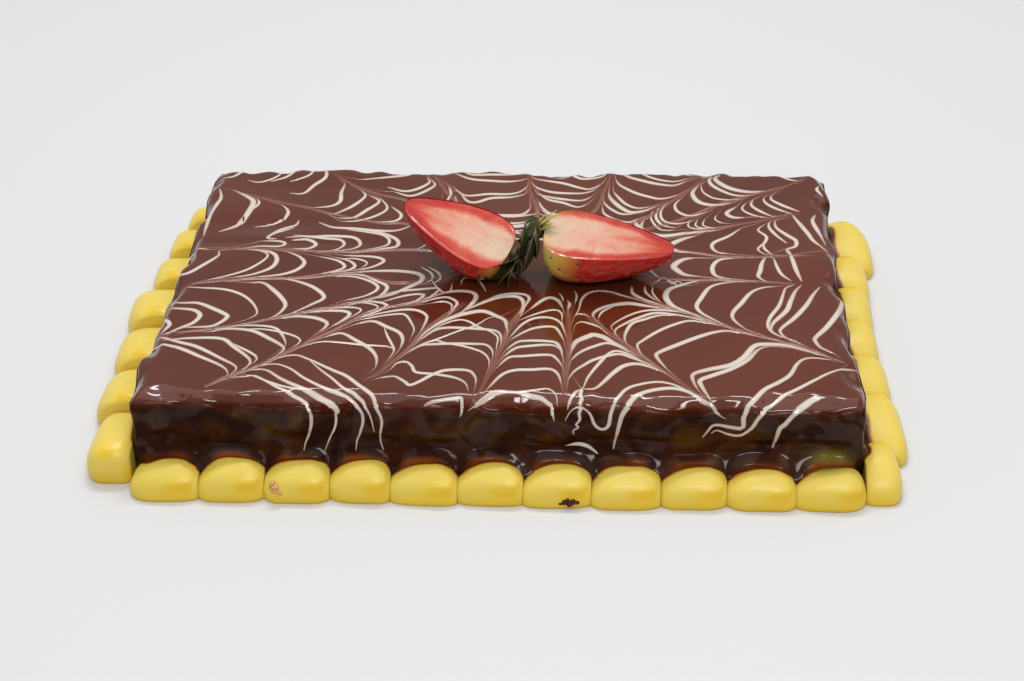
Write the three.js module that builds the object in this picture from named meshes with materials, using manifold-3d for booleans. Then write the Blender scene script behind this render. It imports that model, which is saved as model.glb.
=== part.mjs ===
// A chocolate biscuit cake: four layers of biscuit under one coat of poured chocolate glaze,
// with a row of custard dollops piped round its foot and two strawberry halves set on top.
// Millimetres, +Z up. The origin is under the middle of the whole, on the surface it stands on.
import * as THREE from "three";
import { mergeVertices } from "three/addons/utils/BufferGeometryUtils.js";
import Module from "manifold-3d";

// The glazed cake. Its left and right sides are drawn in a little at mid length.
const CAKE_LENGTH = 264.5;
const CAKE_DEPTH = 171;
const CAKE_HEIGHT = 36;
const SIDE_WAIST = 2;
const LAYER_COUNT = 4;
const LAYER_HEIGHT = CAKE_HEIGHT / LAYER_COUNT;
const RIM_ROUND = 4.5;
const GROOVE_DEPTH = 1.2;
const GROOVE_WIDTH = 1.3;

// The waves in the glaze: how strong each is, and the lengths in millimetres that one radian takes
const SIDE_WAVE = 1.3;
const SIDE_WAVE_RUN = 7.3;
const SIDE_RIPPLE_RUN = 3.1;
const TOP_WAVE = 0.35;
const TOP_WAVE_RUN = { x: 17, y: 13 };

// Two dents and a ridge at the back left of the top, and the bed that is level under the fruit
const TOP_FORMS = [
  { x: -103.4, y: 36, wide: 24, deep: 9, rise: -1.3 },
  { x: -91.4, y: 22, wide: 40, deep: 4, rise: -0.7 },
  { x: -71.4, y: 80, wide: 26, deep: 8, rise: 0.9 },
];
const FRUIT_BED = { x: 10.6, y: 12, wide: 62, deep: 34 };

// The mesh lines of the cake: how many along and across, and where they lie on the rim and a layer
const LINES_ALONG = 26;
const LINES_ACROSS = 18;
const RIM_LINE = 0.35;
const LAYER_LINES = [0.28, 0.72];

// The piped dollops: lengths along each side of the cake, in the order in which they were piped,
// and how far each stands out from that side
const GAP = 0.3;
const FRONT_LENGTHS = [26.1, 23.8, 23.7, 21.9, 24, 23.5, 24.2, 24.5, 23.4, 24.3, 25.4];
const FRONT_REACHES = [14.6, 14.2, 14.5, 14, 14.6, 14.2, 14.4, 14.7, 14.1, 14.5, 14.3];
const FRONT_START = -132.2;
const BACK_LENGTHS = [24.6, 23.6, 24.8, 24, 23.1, 24.7, 24.3, 23.4, 24.6, 23.9, 23.5];
const BACK_REACHES = [13.9, 14.4, 14.1, 14.5, 14.2, 13.8, 14.6, 14.3, 14, 14.4, 14.1];
const BACK_START = -132.2;
const LEFT_LENGTHS = [34.5, 28.5, 29.5, 28, 24.5, 23, 21];
const LEFT_REACHES = [18.7, 22.2, 22.5, 24.7, 21.2, 19.5, 15.6];
const LEFT_START = -91;
const RIGHT_LENGTHS = [23, 31, 25, 24, 24, 24, 31];
const RIGHT_REACHES = [13.5, 17.6, 15.2, 14, 15, 16.5, 20.5];
const RIGHT_START = -96;
const CORNER_SHIFT = 0.6;

// The form of one dollop: its foot turns this far under, in radians, it is this much longer than
// its room before its neighbours press it, this share of its reach is half its depth, and its plan
// is this square, where 2 is an oval. Its top leans along the row and toward the cake.
const DOLLOP_BRIM = 1.86;
const DOLLOP_PRESS = 1.06;
const DOLLOP_HALF = 0.62;
const DOLLOP_SQUARENESS = 2.5;
const DOLLOP_SWELL = 0.03;
const TOP_LEAN = { along: 2.4, back: 1.1 };
const FOLD = { rise: 1.1, along: 4, long: 5, wide: 3 };
const STEPS_AROUND = 12;
const STEPS_DOWN = 7;

// The strawberry halves: how much slimmer the tip is than the leaf end, and how blunt both are
const BERRY_TAPER = 0.9;
const BERRY_BLUNTNESS = 0.7;
const BERRY_STEPS = [22, 14];
const REST_GAP = 0.3;

// The green leaves left on each half, each narrow where it starts and curled up at its edges
const LEAF_THICK = 0.7;
const LEAF_WAVE = 0.7;
const LEAF_WAVES = 5;
const LEAF_NARROW = 0.16;
const LEAF_CURL = 0.05;
const LEAF_STEPS = [7, 3, 1];
const KNOB_STEPS = [10, 6];

const glaze = new THREE.MeshStandardMaterial({ color: 0x3a1a12, roughness: 0.15, metalness: 0 });
const custard = new THREE.MeshStandardMaterial({ color: 0xecc944, roughness: 0.4, metalness: 0 });
const berryFlesh = new THREE.MeshStandardMaterial({ color: 0xc8261c, roughness: 0.3, metalness: 0 });
const berryLeaf = new THREE.MeshStandardMaterial({ color: 0x3b4a1c, roughness: 0.5, metalness: 0 });

const EDGE_X = CAKE_LENGTH / 2;
const EDGE_Y = CAKE_DEPTH / 2;
const INNER_X = EDGE_X - RIM_ROUND;
const INNER_Y = EDGE_Y - RIM_ROUND;
const INNER_Z = CAKE_HEIGHT - RIM_ROUND;

const deg = THREE.MathUtils.degToRad;
const clamp = (value, low, high) => Math.min(high, Math.max(low, value));
const hill = (x, y, form) => Math.exp(-(((x - form.x) / form.wide) ** 2) - ((y - form.y) / form.deep) ** 2);

// A value between 0 and 1 that goes up and down unevenly from one whole number to the next
const uneven = (n) => 0.5 + 0.5 * Math.sin(n * n + 2 * n);

// How far the left and right sides are drawn in, from the distance along them
const waist = (y) => SIDE_WAIST * Math.max(0, 1 - (y / EDGE_Y) ** 2);

// Merges a geometry's shared corners, moves each one by the given function, and closes the shading
function reshape(geometry, move) {
  geometry.deleteAttribute("normal");
  geometry.deleteAttribute("uv");
  const joined = mergeVertices(geometry, 1e-4);
  const places = joined.attributes.position;
  const point = new THREE.Vector3();
  for (let i = 0; i < places.count; i += 1) {
    point.fromBufferAttribute(places, i);
    move(point);
    places.setXYZ(i, point.x, point.y, point.z);
  }
  joined.computeVertexNormals();
  return joined;
}

// The cake's grid lines across one side: close together in the rounded edge, even between
function linesAcross(size, steps) {
  const half = size / 2;
  const inner = half - RIM_ROUND;
  const flatSteps = steps - 4;
  const lines = [-half, -half + RIM_LINE * RIM_ROUND];
  for (let i = 0; i <= flatSteps; i += 1) lines.push(-inner + (2 * inner * i) / flatSteps);
  lines.push(half - RIM_LINE * RIM_ROUND, half);
  return lines;
}

// The cake's grid lines up its side: two on the belly of each layer, one in each groove
function linesUp() {
  const lines = [0];
  for (let layer = 0; layer < LAYER_COUNT; layer += 1) {
    const foot = layer * LAYER_HEIGHT;
    if (layer > 0) lines.push(foot);
    lines.push(foot + LAYER_LINES[0] * LAYER_HEIGHT);
    if (layer < LAYER_COUNT - 1) lines.push(foot + LAYER_LINES[1] * LAYER_HEIGHT);
  }
  lines.push(INNER_Z, CAKE_HEIGHT - RIM_LINE * RIM_ROUND, CAKE_HEIGHT);
  return lines;
}

// How far the glaze draws in on a side, from its run along the side and its height
function sideInset(along, z, phase) {
  const wave = Math.sin(along / SIDE_WAVE_RUN + phase);
  const ripple = Math.sin((along + z / 2) / SIDE_RIPPLE_RUN + 2 * phase);
  let inset = SIDE_WAVE * (0.5 + 0.3 * wave + 0.2 * ripple);
  for (let k = 1; k < LAYER_COUNT; k += 1) {
    const off = (z - k * LAYER_HEIGHT) / GROOVE_WIDTH;
    inset += GROOVE_DEPTH * Math.exp(-off * off);
  }
  return inset;
}

// How far the top stands from flat: slow waves, then the dents and the ridge
function topRelief(x, y) {
  const open = 1 - hill(x, y, FRUIT_BED);
  const wave = Math.sin(x / TOP_WAVE_RUN.x + 0.6) * Math.sin(y / TOP_WAVE_RUN.y) - 0.5;
  return TOP_FORMS.reduce((rise, form) => rise + form.rise * hill(x, y, form), TOP_WAVE * wave * open);
}

function glazedCake() {
  const acrossX = linesAcross(CAKE_LENGTH, LINES_ALONG);
  const acrossY = linesAcross(CAKE_DEPTH, LINES_ACROSS);
  const up = linesUp();
  const steps = [acrossX.length - 1, acrossY.length - 1, up.length - 1];
  const line = (value, count) => Math.round(((value + 1) / 2) * count);
  const crown = 0.2 * CAKE_HEIGHT;
  return reshape(new THREE.BoxGeometry(2, 2, 2, ...steps), (p) => {
    const x = acrossX[line(p.x, steps[0])];
    const y = acrossY[line(p.y, steps[1])];
    const z = up[line(p.z, steps[2])];
    const overX = Math.max(0, Math.abs(x) - INNER_X);
    const overY = Math.max(0, Math.abs(y) - INNER_Y);
    const overZ = Math.max(0, z - INNER_Z);
    const reach = Math.hypot(overX, overY, overZ) || 1;
    const round = Math.max(overX, overY, overZ) / reach;
    const side = Math.hypot(overX, overY) || 1;
    const outward = Math.max(overX, overY) / RIM_ROUND;
    const phase = overX > overY ? 1 + Math.sign(x) : 4 + Math.sign(y);
    const along = overX > overY ? y : x;
    const inset = outward > 0 ? outward * sideInset(along, Math.min(z, INNER_Z), phase) : 0;
    const outX = overX * round - (inset * overX) / side;
    const outY = overY * round - (inset * overY) / side;
    p.y = Math.sign(y) * (Math.min(Math.abs(y), INNER_Y) + outY);
    p.x = Math.sign(x) * (Math.min(Math.abs(x), INNER_X) + outX) * (1 - waist(p.y) / EDGE_X);
    p.z = Math.min(z, INNER_Z) + overZ * round;
    p.z += (topRelief(x, y) * Math.max(0, z - CAKE_HEIGHT + crown)) / crown;
  });
}

// One piped dollop. Its own x runs along the cake's side, its y points away from the cake, and it
// is cut flat by its neighbours, by the cake and by what it stands on. The nozzle's last turn
// leaves a soft fold that leans along the row. wall gives the nearest y that the cake leaves free.
function dollop({ length, reach, height, lean, wall, seed }) {
  const footRing = STEPS_DOWN - 1;
  const brimHeight = Math.cos(DOLLOP_BRIM);
  const halfRoom = length / 2 - GAP / 2;
  const halfAlong = (length / 2) * DOLLOP_PRESS;
  const halfOut = reach * DOLLOP_HALF;
  const press = (value) => Math.sign(value) * Math.abs(value) ** (2 / DOLLOP_SQUARENESS);
  const ball = new THREE.SphereGeometry(1, STEPS_AROUND, STEPS_DOWN).rotateX(Math.PI / 2);
  return reshape(ball, (p) => {
    const ring = Math.round((Math.acos(clamp(p.z, -1, 1)) / Math.PI) * STEPS_DOWN);
    const turn = Math.atan2(p.y, p.x);
    const fall = (Math.min(ring, footRing) / footRing) * DOLLOP_BRIM;
    const wide = ring > footRing ? 0 : Math.sin(fall) ** 0.9;
    const level = clamp((Math.cos(fall) - brimHeight) / (1 - brimHeight), 0, 1);
    const swell = 1 + DOLLOP_SWELL * Math.sin(3 * turn + seed);
    const s = halfAlong * wide * press(Math.cos(turn)) * swell + lean * TOP_LEAN.along * level ** 3;
    const out = reach - halfOut + halfOut * wide * press(Math.sin(turn)) * swell - TOP_LEAN.back * level ** 3;
    const fold = hill(s, out, { x: lean * FOLD.along, y: reach / 2, wide: FOLD.long, deep: FOLD.wide });
    p.x = clamp(s, -halfRoom, halfRoom);
    p.y = Math.max(out, wall(p.x));
    p.z = ring >= footRing ? 0 : (height + FOLD.rise * fold) * level;
  });
}

// A row of dollops along one side of the cake: turn is the way the row faces, place gives the
// middle of a dollop from its distance along the side, and drawnIn is how far the side is drawn in
function dollopRow(name, { lengths, reaches, start, height, lean, turn, place, firstInset, drawnIn }) {
  const row = new THREE.Group();
  let along = start;
  lengths.forEach((length, index) => {
    const middle = along + length / 2;
    const clear = GAP + (index === 0 ? firstInset : 0);
    const seed = lengths.length * 10 + index;
    const geometry = dollop({
      length,
      reach: reaches[index],
      height: height * (0.96 + 0.08 * uneven(seed)),
      lean,
      wall: (s) => clear - drawnIn(middle + s * Math.sin(turn)),
      seed,
    });
    const mesh = new THREE.Mesh(geometry, custard);
    mesh.name = `dollop_${name}_${index + 1}`;
    mesh.rotation.z = turn;
    mesh.position.copy(place(middle));
    row.add(mesh);
    along += length;
  });
  return row;
}

// Half a strawberry in its own frame: x from the leaves to the tip, y across the cut, and the cut
// face up at z = 0 with the round side under it
function berryHalf({ length, halfWidth, depth, shoulder, squareness }) {
  const widest = Math.acos(shoulder);
  const swell = (fall) => Math.sin(fall) ** BERRY_BLUNTNESS * (1 + BERRY_TAPER * shoulder * Math.cos(fall));
  const full = swell(widest);
  const press = (value) => Math.sign(value) * Math.abs(value) ** (2 / squareness);
  return reshape(new THREE.SphereGeometry(1, ...BERRY_STEPS).rotateZ(Math.PI / 2), (p) => {
    const fall = Math.acos(clamp(-p.x, -1, 1));
    const turn = Math.atan2(p.z, p.y);
    const isEnd = Math.abs(p.x) > 0.999999;
    const radius = isEnd ? 0 : swell(fall) / full;
    p.x = (length * (1 - Math.cos(fall))) / 2;
    p.y = halfWidth * radius * press(Math.cos(turn));
    p.z = Math.min(0, depth * radius * press(Math.sin(turn)));
  });
}

const wasm = await Module();
wasm.setup();

// Makes a manifold solid of a closed geometry
function asSolid(geometry) {
  const mesh = new wasm.Mesh({
    numProp: 3,
    vertProperties: new Float32Array(geometry.attributes.position.array),
    triVerts: new Uint32Array(geometry.index.array),
  });
  return new wasm.Manifold(mesh);
}

function asGeometry(solid) {
  const mesh = solid.getMesh();
  const geometry = new THREE.BufferGeometry();
  geometry.setAttribute("position", new THREE.BufferAttribute(new Float32Array(mesh.vertProperties), 3));
  geometry.setIndex(new THREE.BufferAttribute(new Uint32Array(mesh.triVerts), 1));
  geometry.computeVertexNormals();
  return geometry;
}

// One leaf: a thin pointed strip along x that droops at its end and waves across
function leaf({ length, width, droop, wave }) {
  const strip = new THREE.BoxGeometry(length, width, LEAF_THICK, ...LEAF_STEPS);
  return reshape(strip, (p) => {
    const run = p.x / length + 0.5;
    const belly = Math.sin(Math.PI * Math.min(1, run * 0.72 + 0.24)) ** 0.8;
    const taper = LEAF_NARROW + (1 - LEAF_NARROW) * belly;
    const bend = droop * run * run + LEAF_WAVE * Math.sin(run * LEAF_WAVES + wave) + LEAF_CURL * p.y * p.y;
    p.x = length * run;
    p.y *= taper;
    p.z += bend;
  });
}

// The leaves of one half, joined at a small round knob where the stalk was. Each leaf spreads from
// the knob in its own direction, and z points away from the berry.
function leaves(knob, rows) {
  const hub = reshape(new THREE.SphereGeometry(1, ...KNOB_STEPS), (p) => p.multiply(knob));
  let whole = asSolid(hub);
  rows.forEach(({ heading, pitch, length, width, droop, wave }) => {
    const turned = leaf({ length, width, droop, wave });
    turned.rotateY(-deg(pitch));
    turned.rotateZ(deg(heading));
    whole = whole.add(asSolid(turned));
  });
  return asGeometry(whole);
}

// Sets one half with its leaves on the cake: x and y place the middle of its leaf end, and the
// group is lifted until the berry clears the glaze
function berryWithLeaves(side, { half, knob, rows, x, y, heading, rise, roll }) {
  const group = new THREE.Group();
  const berry = new THREE.Mesh(berryHalf(half), berryFlesh);
  berry.name = `berry_half_${side}`;
  const green = new THREE.Mesh(leaves(knob, rows), berryLeaf);
  green.name = `berry_leaves_${side}`;
  const across = new THREE.Vector3(0, 1, 0);
  const under = new THREE.Vector3(0, 0, -1);
  const away = new THREE.Vector3(-1, 0, 0);
  green.setRotationFromMatrix(new THREE.Matrix4().makeBasis(across, under, away));
  green.position.set(-knob.z - GAP, 0, -0.4 * knob.y);
  group.add(berry, green);
  group.rotation.order = "ZYX";
  group.rotation.set(deg(roll), -deg(rise), deg(heading));
  group.position.set(x, y, CAKE_HEIGHT);
  group.updateMatrixWorld(true);
  const low = new THREE.Box3().setFromObject(berry, true).min.z;
  group.position.z += CAKE_HEIGHT + REST_GAP - low;
  return group;
}

const cake = new THREE.Mesh(glazedCake(), glaze);
cake.name = "cake";

const whole = new THREE.Group();
whole.add(
  cake,
  dollopRow("front", {
    lengths: FRONT_LENGTHS, reaches: FRONT_REACHES, start: FRONT_START, height: 12, lean: -1,
    turn: Math.PI, place: (x) => new THREE.Vector3(x, -EDGE_Y, 0), firstInset: 0, drawnIn: () => 0,
  }),
  dollopRow("back", {
    lengths: BACK_LENGTHS, reaches: BACK_REACHES, start: BACK_START, height: 12, lean: 1,
    turn: 0, place: (x) => new THREE.Vector3(x, EDGE_Y, 0), firstInset: 0, drawnIn: () => 0,
  }),
  dollopRow("left", {
    lengths: LEFT_LENGTHS, reaches: LEFT_REACHES, start: LEFT_START, height: 15, lean: -1.2,
    turn: Math.PI / 2, place: (y) => new THREE.Vector3(-EDGE_X, y, 0), firstInset: 0, drawnIn: waist,
  }),
  dollopRow("right", {
    lengths: RIGHT_LENGTHS, reaches: RIGHT_REACHES, start: RIGHT_START, height: 12.8, lean: -1.5,
    turn: -Math.PI / 2, place: (y) => new THREE.Vector3(EDGE_X, y, 0), drawnIn: waist,
    firstInset: CORNER_SHIFT,
  }),
  berryWithLeaves("right", {
    half: { length: 50, halfWidth: 19.2, depth: 16.8, shoulder: 0.5, squareness: 2.5 },
    x: 15.6, y: 2.6, heading: -7, rise: -6, roll: -3,
    knob: new THREE.Vector3(3.4, 3, 1.8),
    rows: [
      { heading: 128, pitch: 9, length: 16, width: 6.5, droop: 1.2, wave: 0 },
      { heading: 148, pitch: 5, length: 20, width: 7, droop: 1.5, wave: 2 },
      { heading: 100, pitch: 7, length: 9, width: 6, droop: 1, wave: 4 },
      { heading: -20, pitch: 50, length: 6.5, width: 3.4, droop: 0.6, wave: 1 },
      { heading: -64, pitch: 12, length: 6.5, width: 3.4, droop: -0.6, wave: 3 },
      { heading: 22, pitch: 30, length: 7, width: 3.2, droop: -0.6, wave: 3 },
    ],
  }),
  berryWithLeaves("left", {
    half: { length: 44.5, halfWidth: 17.2, depth: 14.8, shoulder: 0.5, squareness: 2.2 },
    x: 2, y: -1.2, heading: 168, rise: 21, roll: -5,
    knob: new THREE.Vector3(3.4, 3, 1.8),
    rows: [
      { heading: 205, pitch: 22, length: 8, width: 6, droop: 1, wave: 1 },
      { heading: 150, pitch: 16, length: 7, width: 4.6, droop: 0.6, wave: 3 },
      { heading: 28, pitch: 8, length: 14, width: 6.5, droop: 1, wave: 2 },
      { heading: -14, pitch: 16, length: 7, width: 3, droop: 0.6, wave: 0 },
    ],
  }),
);

// The origin goes under the middle of everything together
whole.updateMatrixWorld(true);
const middle = new THREE.Box3().setFromObject(whole, true).getCenter(new THREE.Vector3());
whole.position.set(-middle.x, -middle.y, 0);

export default whole;
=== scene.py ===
import math

import bmesh
import bpy
import numpy as np
from mathutils import Matrix, Vector


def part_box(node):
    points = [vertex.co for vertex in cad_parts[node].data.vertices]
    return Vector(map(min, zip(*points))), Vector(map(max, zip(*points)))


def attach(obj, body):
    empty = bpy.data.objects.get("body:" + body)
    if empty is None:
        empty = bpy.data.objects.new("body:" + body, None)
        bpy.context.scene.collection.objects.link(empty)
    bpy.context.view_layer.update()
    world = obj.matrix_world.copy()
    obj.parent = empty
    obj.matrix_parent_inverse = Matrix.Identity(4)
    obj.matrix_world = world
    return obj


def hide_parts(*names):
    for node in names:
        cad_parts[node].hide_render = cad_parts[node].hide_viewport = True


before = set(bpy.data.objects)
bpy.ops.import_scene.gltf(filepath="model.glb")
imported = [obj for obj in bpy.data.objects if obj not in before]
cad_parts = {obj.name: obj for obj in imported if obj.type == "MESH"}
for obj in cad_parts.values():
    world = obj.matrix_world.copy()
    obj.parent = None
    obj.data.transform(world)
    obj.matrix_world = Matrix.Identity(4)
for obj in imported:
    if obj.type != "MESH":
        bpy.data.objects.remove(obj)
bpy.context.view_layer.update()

# The view. A long lens looks down on the front of the cake from a little to its right. The cake
# stands on a plain pale floor in an even pale room, under one wide and two narrow soft lamps.
MM = 0.001
CAKE_HEIGHT = 36.0
EYE = Vector((42.9, -579.9, 361.9 + CAKE_HEIGHT))
LOOK_DOWN, TURN_LEFT, LEAN = math.radians(34.115), math.radians(4.064), math.radians(-1.597)
ROOM_GLOW = 0.46
FLOOR_PALE = (0.61, 0.61, 0.62, 1)

scene = bpy.context.scene
scene.view_settings.view_transform = "Standard"
cake_low, cake_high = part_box("cake")
MIDDLE = Vector(((cake_low.x + cake_high.x) / 2, (cake_low.y + cake_high.y) / 2, 0))

lens = bpy.data.cameras.new("camera")
lens.lens = 61.52
lens.sensor_width = 36
camera = bpy.data.objects.new("camera", lens)
camera.matrix_world = (
    Matrix.Translation(MIDDLE + EYE * MM)
    @ Matrix.Rotation(TURN_LEFT, 4, "Z")
    @ Matrix.Rotation(math.pi / 2 - LOOK_DOWN, 4, "X")
    @ Matrix.Rotation(LEAN, 4, "Z")
)
scene.collection.objects.link(camera)
scene.camera = camera


def new_finish(name, **shader_values):
    """A material with one shader, and the shader's values that are the same all over."""
    finish = bpy.data.materials.new(name)
    finish.use_nodes = True
    shader = finish.node_tree.nodes["Principled BSDF"]
    for socket, value in shader_values.items():
        shader.inputs[socket.replace("_", " ")].default_value = value
    return finish, finish.node_tree, shader


room = bpy.data.worlds.new("room")
scene.world = room
room.use_nodes = True
room.node_tree.nodes["Background"].inputs["Color"].default_value = (1, 1, 1, 1)
room.node_tree.nodes["Background"].inputs["Strength"].default_value = ROOM_GLOW

floor_finish, floor_tree, floor_shader = new_finish("pale_floor", Roughness=0.7)
floor_shader.inputs["Base Color"].default_value = FLOOR_PALE
floor_shader.inputs["Specular IOR Level"].default_value = 0.2
FLOOR_REACH = 4.0
floor_mesh = bpy.data.meshes.new("floor")
corners = [(-1, -1, 0), (1, -1, 0), (1, 1, 0), (-1, 1, 0)]
floor_mesh.from_pydata([Vector(c) * FLOOR_REACH for c in corners], [], [(0, 1, 2, 3)])
floor_mesh.materials.append(floor_finish)
floor = bpy.data.objects.new("floor", floor_mesh)
scene.collection.objects.link(floor)


def soft_lamp(name, place, wide, custard_shade, power):
    """A square lamp that hangs at a place and faces the cake."""
    lamp = bpy.data.lights.new(name, "AREA")
    lamp.shape = "RECTANGLE"
    lamp.size, lamp.size_y, lamp.energy = wide, custard_shade, power
    hung = bpy.data.objects.new(name, lamp)
    hung.location = place
    hung.rotation_euler = (MIDDLE - Vector(place)).to_track_quat("-Z", "Y").to_euler()
    scene.collection.objects.link(hung)


soft_lamp("ceiling_lamp", (0, 0.10, 1.35), 2.4, 2.0, 13)
soft_lamp("back_lamp", (-0.05, 0.38, 1.03), 0.5, 0.14, 4.5)
soft_lamp("front_lamp", (0.18, -0.80, 0.80), 0.4, 0.16, 3.5)


# The glazed cake: four biscuit layers with cream between them, squared by hand, under one coat of
# dark chocolate glaze poured from above. The layers show as soft ridges down its sides, and the
# glaze ran off the foot into a skirt over the custard.
CAKE_LENGTH, CAKE_DEPTH = 264.5, 171.0
SIDE_WAIST = 2.0
LAYER_COUNT = 4
LAYER_HEIGHT = CAKE_HEIGHT / LAYER_COUNT
RIM_ROUND, EDGE_ROUND = 4.5, 1.8
RIM_SLOPE, RIM_RUN = 0.72, 5.0
DIP_WIDE, DIP_DROP, DIP_REACH = 3.6, 4.4, 2.8
DARK_BELOW = 32.9
GROOVE_DEPTH, GROOVE_WIDTH, TOP_GROOVE = 0.75, 1.9, 0.35
SIDE_WAVE, TOP_WAVE = 1.3, 0.35
SKIRT_TOP, SKIRT_EDGE, SKIRT_REACH = 15.2, 12.3, 3.6
THIN_X, THIN_Z, THIN_WIDE, THIN_HIGH = 119.5, 13.5, 6, 2.6
HALF_X, HALF_Y = CAKE_LENGTH / 2, CAKE_DEPTH / 2
INNER_X, INNER_Y, INNER_Z = HALF_X - RIM_ROUND, HALF_Y - RIM_ROUND, CAKE_HEIGHT - EDGE_ROUND
EDGE_RUN = EDGE_ROUND * math.pi / 2


def hill(x, y, at_x, at_y, wide, custard_shade):
    return np.exp(-(((x - at_x) / wide) ** 2) - ((y - at_y) / custard_shade) ** 2)


def smooth_step(value, start, end):
    t = np.clip((value - start) / (end - start), 0, 1)
    return t * t * (3 - 2 * t)


def wander(u, v, seed):
    """A slow value between about -1 and 1 that wanders over a surface, in waves 4 to 12 units long."""
    total = 0
    for k in range(4):
        turn = 1.7 * seed + 2.4 * k
        pull = 0.6 + 0.3 * k
        phase = 3.1 * seed * (k + 1) + k
        total = total + np.sin(pull * (u * np.cos(turn) + v * np.sin(turn)) + phase) / (1 + 0.4 * k)
    return total / 2.2


def dips_between(row):
    """The places along a side where two piped dollops meet, and both ends of their row."""
    axis = 0 if row in ("front", "back") else 1
    nodes = [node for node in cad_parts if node.startswith(f"dollop_{row}_")]
    ends = [(corner[axis] - MIDDLE[axis]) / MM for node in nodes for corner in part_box(node)]
    ends.sort()
    return np.array([ends[0], *(sum(ends[i : i + 2]) / 2 for i in range(1, len(ends) - 1, 2)), ends[-1]])


SIDES = {
    "left": {"phase": 0, "half": HALF_Y}, "right": {"phase": 2, "half": HALF_Y},
    "front": {"phase": 3, "half": HALF_X}, "back": {"phase": 5, "half": HALF_X},
}
for row, side in SIDES.items():
    side["dips"] = dips_between(row)


def waist(y):
    """How much narrower the cake is at a distance from its middle, as a share of its length."""
    return SIDE_WAIST / HALF_X * np.maximum(0, 1 - (y / HALF_Y) ** 2)


def side_inset(row, along, z):
    """How far the glaze draws in on a side, from its run along the side and its height."""
    phase = SIDES[row]["phase"]
    ripple = np.sin((along + z / 2) / 3.1 + 2 * phase)
    inset = SIDE_WAVE * (0.5 + 0.3 * np.sin(along / 7.3 + phase) + 0.2 * ripple)
    open_side = 1 - smooth_step(np.abs(along), SIDES[row]["half"] - 12, SIDES[row]["half"] - 3)
    for k in range(1, LAYER_COUNT):
        line = k * LAYER_HEIGHT + 1.9 * wander(along / 5, k * 3.0, 4) + 0.5 * wander(along / 1.7, k, 2)
        depth = GROOVE_DEPTH * (0.7 + 0.9 * wander(along / 6, k * 5.0, 7)) * (0.3 + 0.7 * open_side)
        depth = depth * (TOP_GROOVE if k == LAYER_COUNT - 1 else 1)
        inset = inset + depth * np.exp(-(((z - line) / GROOVE_WIDTH) ** 2))
    return inset - 0.55 * wander(along / 4, z / 3, 2) - 0.16 * wander(along / 1.8, z / 1.5, 8)


def skirt_edge(row, along):
    """The height of the lower edge of the glaze at the foot, and where it dips between the dollops."""
    dip = np.exp(-((np.min(np.abs(along[..., None] - SIDES[row]["dips"]), axis=-1) / DIP_WIDE) ** 2))
    return SKIRT_EDGE - DIP_DROP * dip + 0.35 * wander(along / 2.4, 1, SIDES[row]["phase"]), dip


def skirt(row, along, z):
    """How far the glaze at the foot stands out from the side: it laps onto the custard and runs down
    between the dollops."""
    phase = SIDES[row]["phase"]
    edge, dip = skirt_edge(row, along)
    top = SKIRT_TOP + 0.7 * wander(along / 8, 3, phase)
    reach = SKIRT_REACH + 0.8 * wander(along / 4, 0, phase) + DIP_REACH * dip
    run = np.clip((top - z) / (top - edge), 0, 1)
    corner = 1 - 0.9 * smooth_step(np.abs(along), SIDES[row]["half"] - 9, SIDES[row]["half"] - 1)
    return corner * (reach * run**1.6 + 1.6 * smooth_step(edge - z, 0, 4))


def top_relief(x, y):
    """How far the top stands from flat."""
    fruit = 1 - hill(x, y, 10.6, 12, 62, 34)
    rise = TOP_WAVE * (np.sin(x / 17 + 0.6) * np.sin(y / 13) - 0.5) * np.clip(fruit, 0, 1)
    rise = rise - 1.3 * hill(x, y, -103.4, 36, 24, 9) - 0.7 * hill(x, y, -91.4, 22, 40, 4)
    rise = rise + 0.9 * hill(x, y, -71.4, 80, 26, 8)
    ripples = np.sin(1.5 * x + 0.4 * y) * hill(x, y, -106.4, 41, 13, 4)
    rise = rise + 0.35 * ripples + 0.07 * wander(x / 5, y / 5, 9) * np.clip(fruit, 0, 1)
    return rise - 0.35 * hill(x, y, 113.1, -66, 1.2, 1.2)


def rim_fall(x, y):
    """How far the glaze has run down near the rim, from a wavy line just inside it. The two
    distances to the sides are joined smoothly, so the line turns the corners in a curve."""
    near = -2 * np.log(np.exp((np.abs(x) - HALF_X) / 2) + np.exp((np.abs(y) - HALF_Y) / 2))
    start = RIM_RUN + 2.8 * wander(x / 2.8, y / 2.8, 3) + 0.5 * wander(x / 1.1, y / 1.1, 6)
    return RIM_SLOPE * 0.5 * np.log1p(np.exp((start - near) / 0.5))


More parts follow.
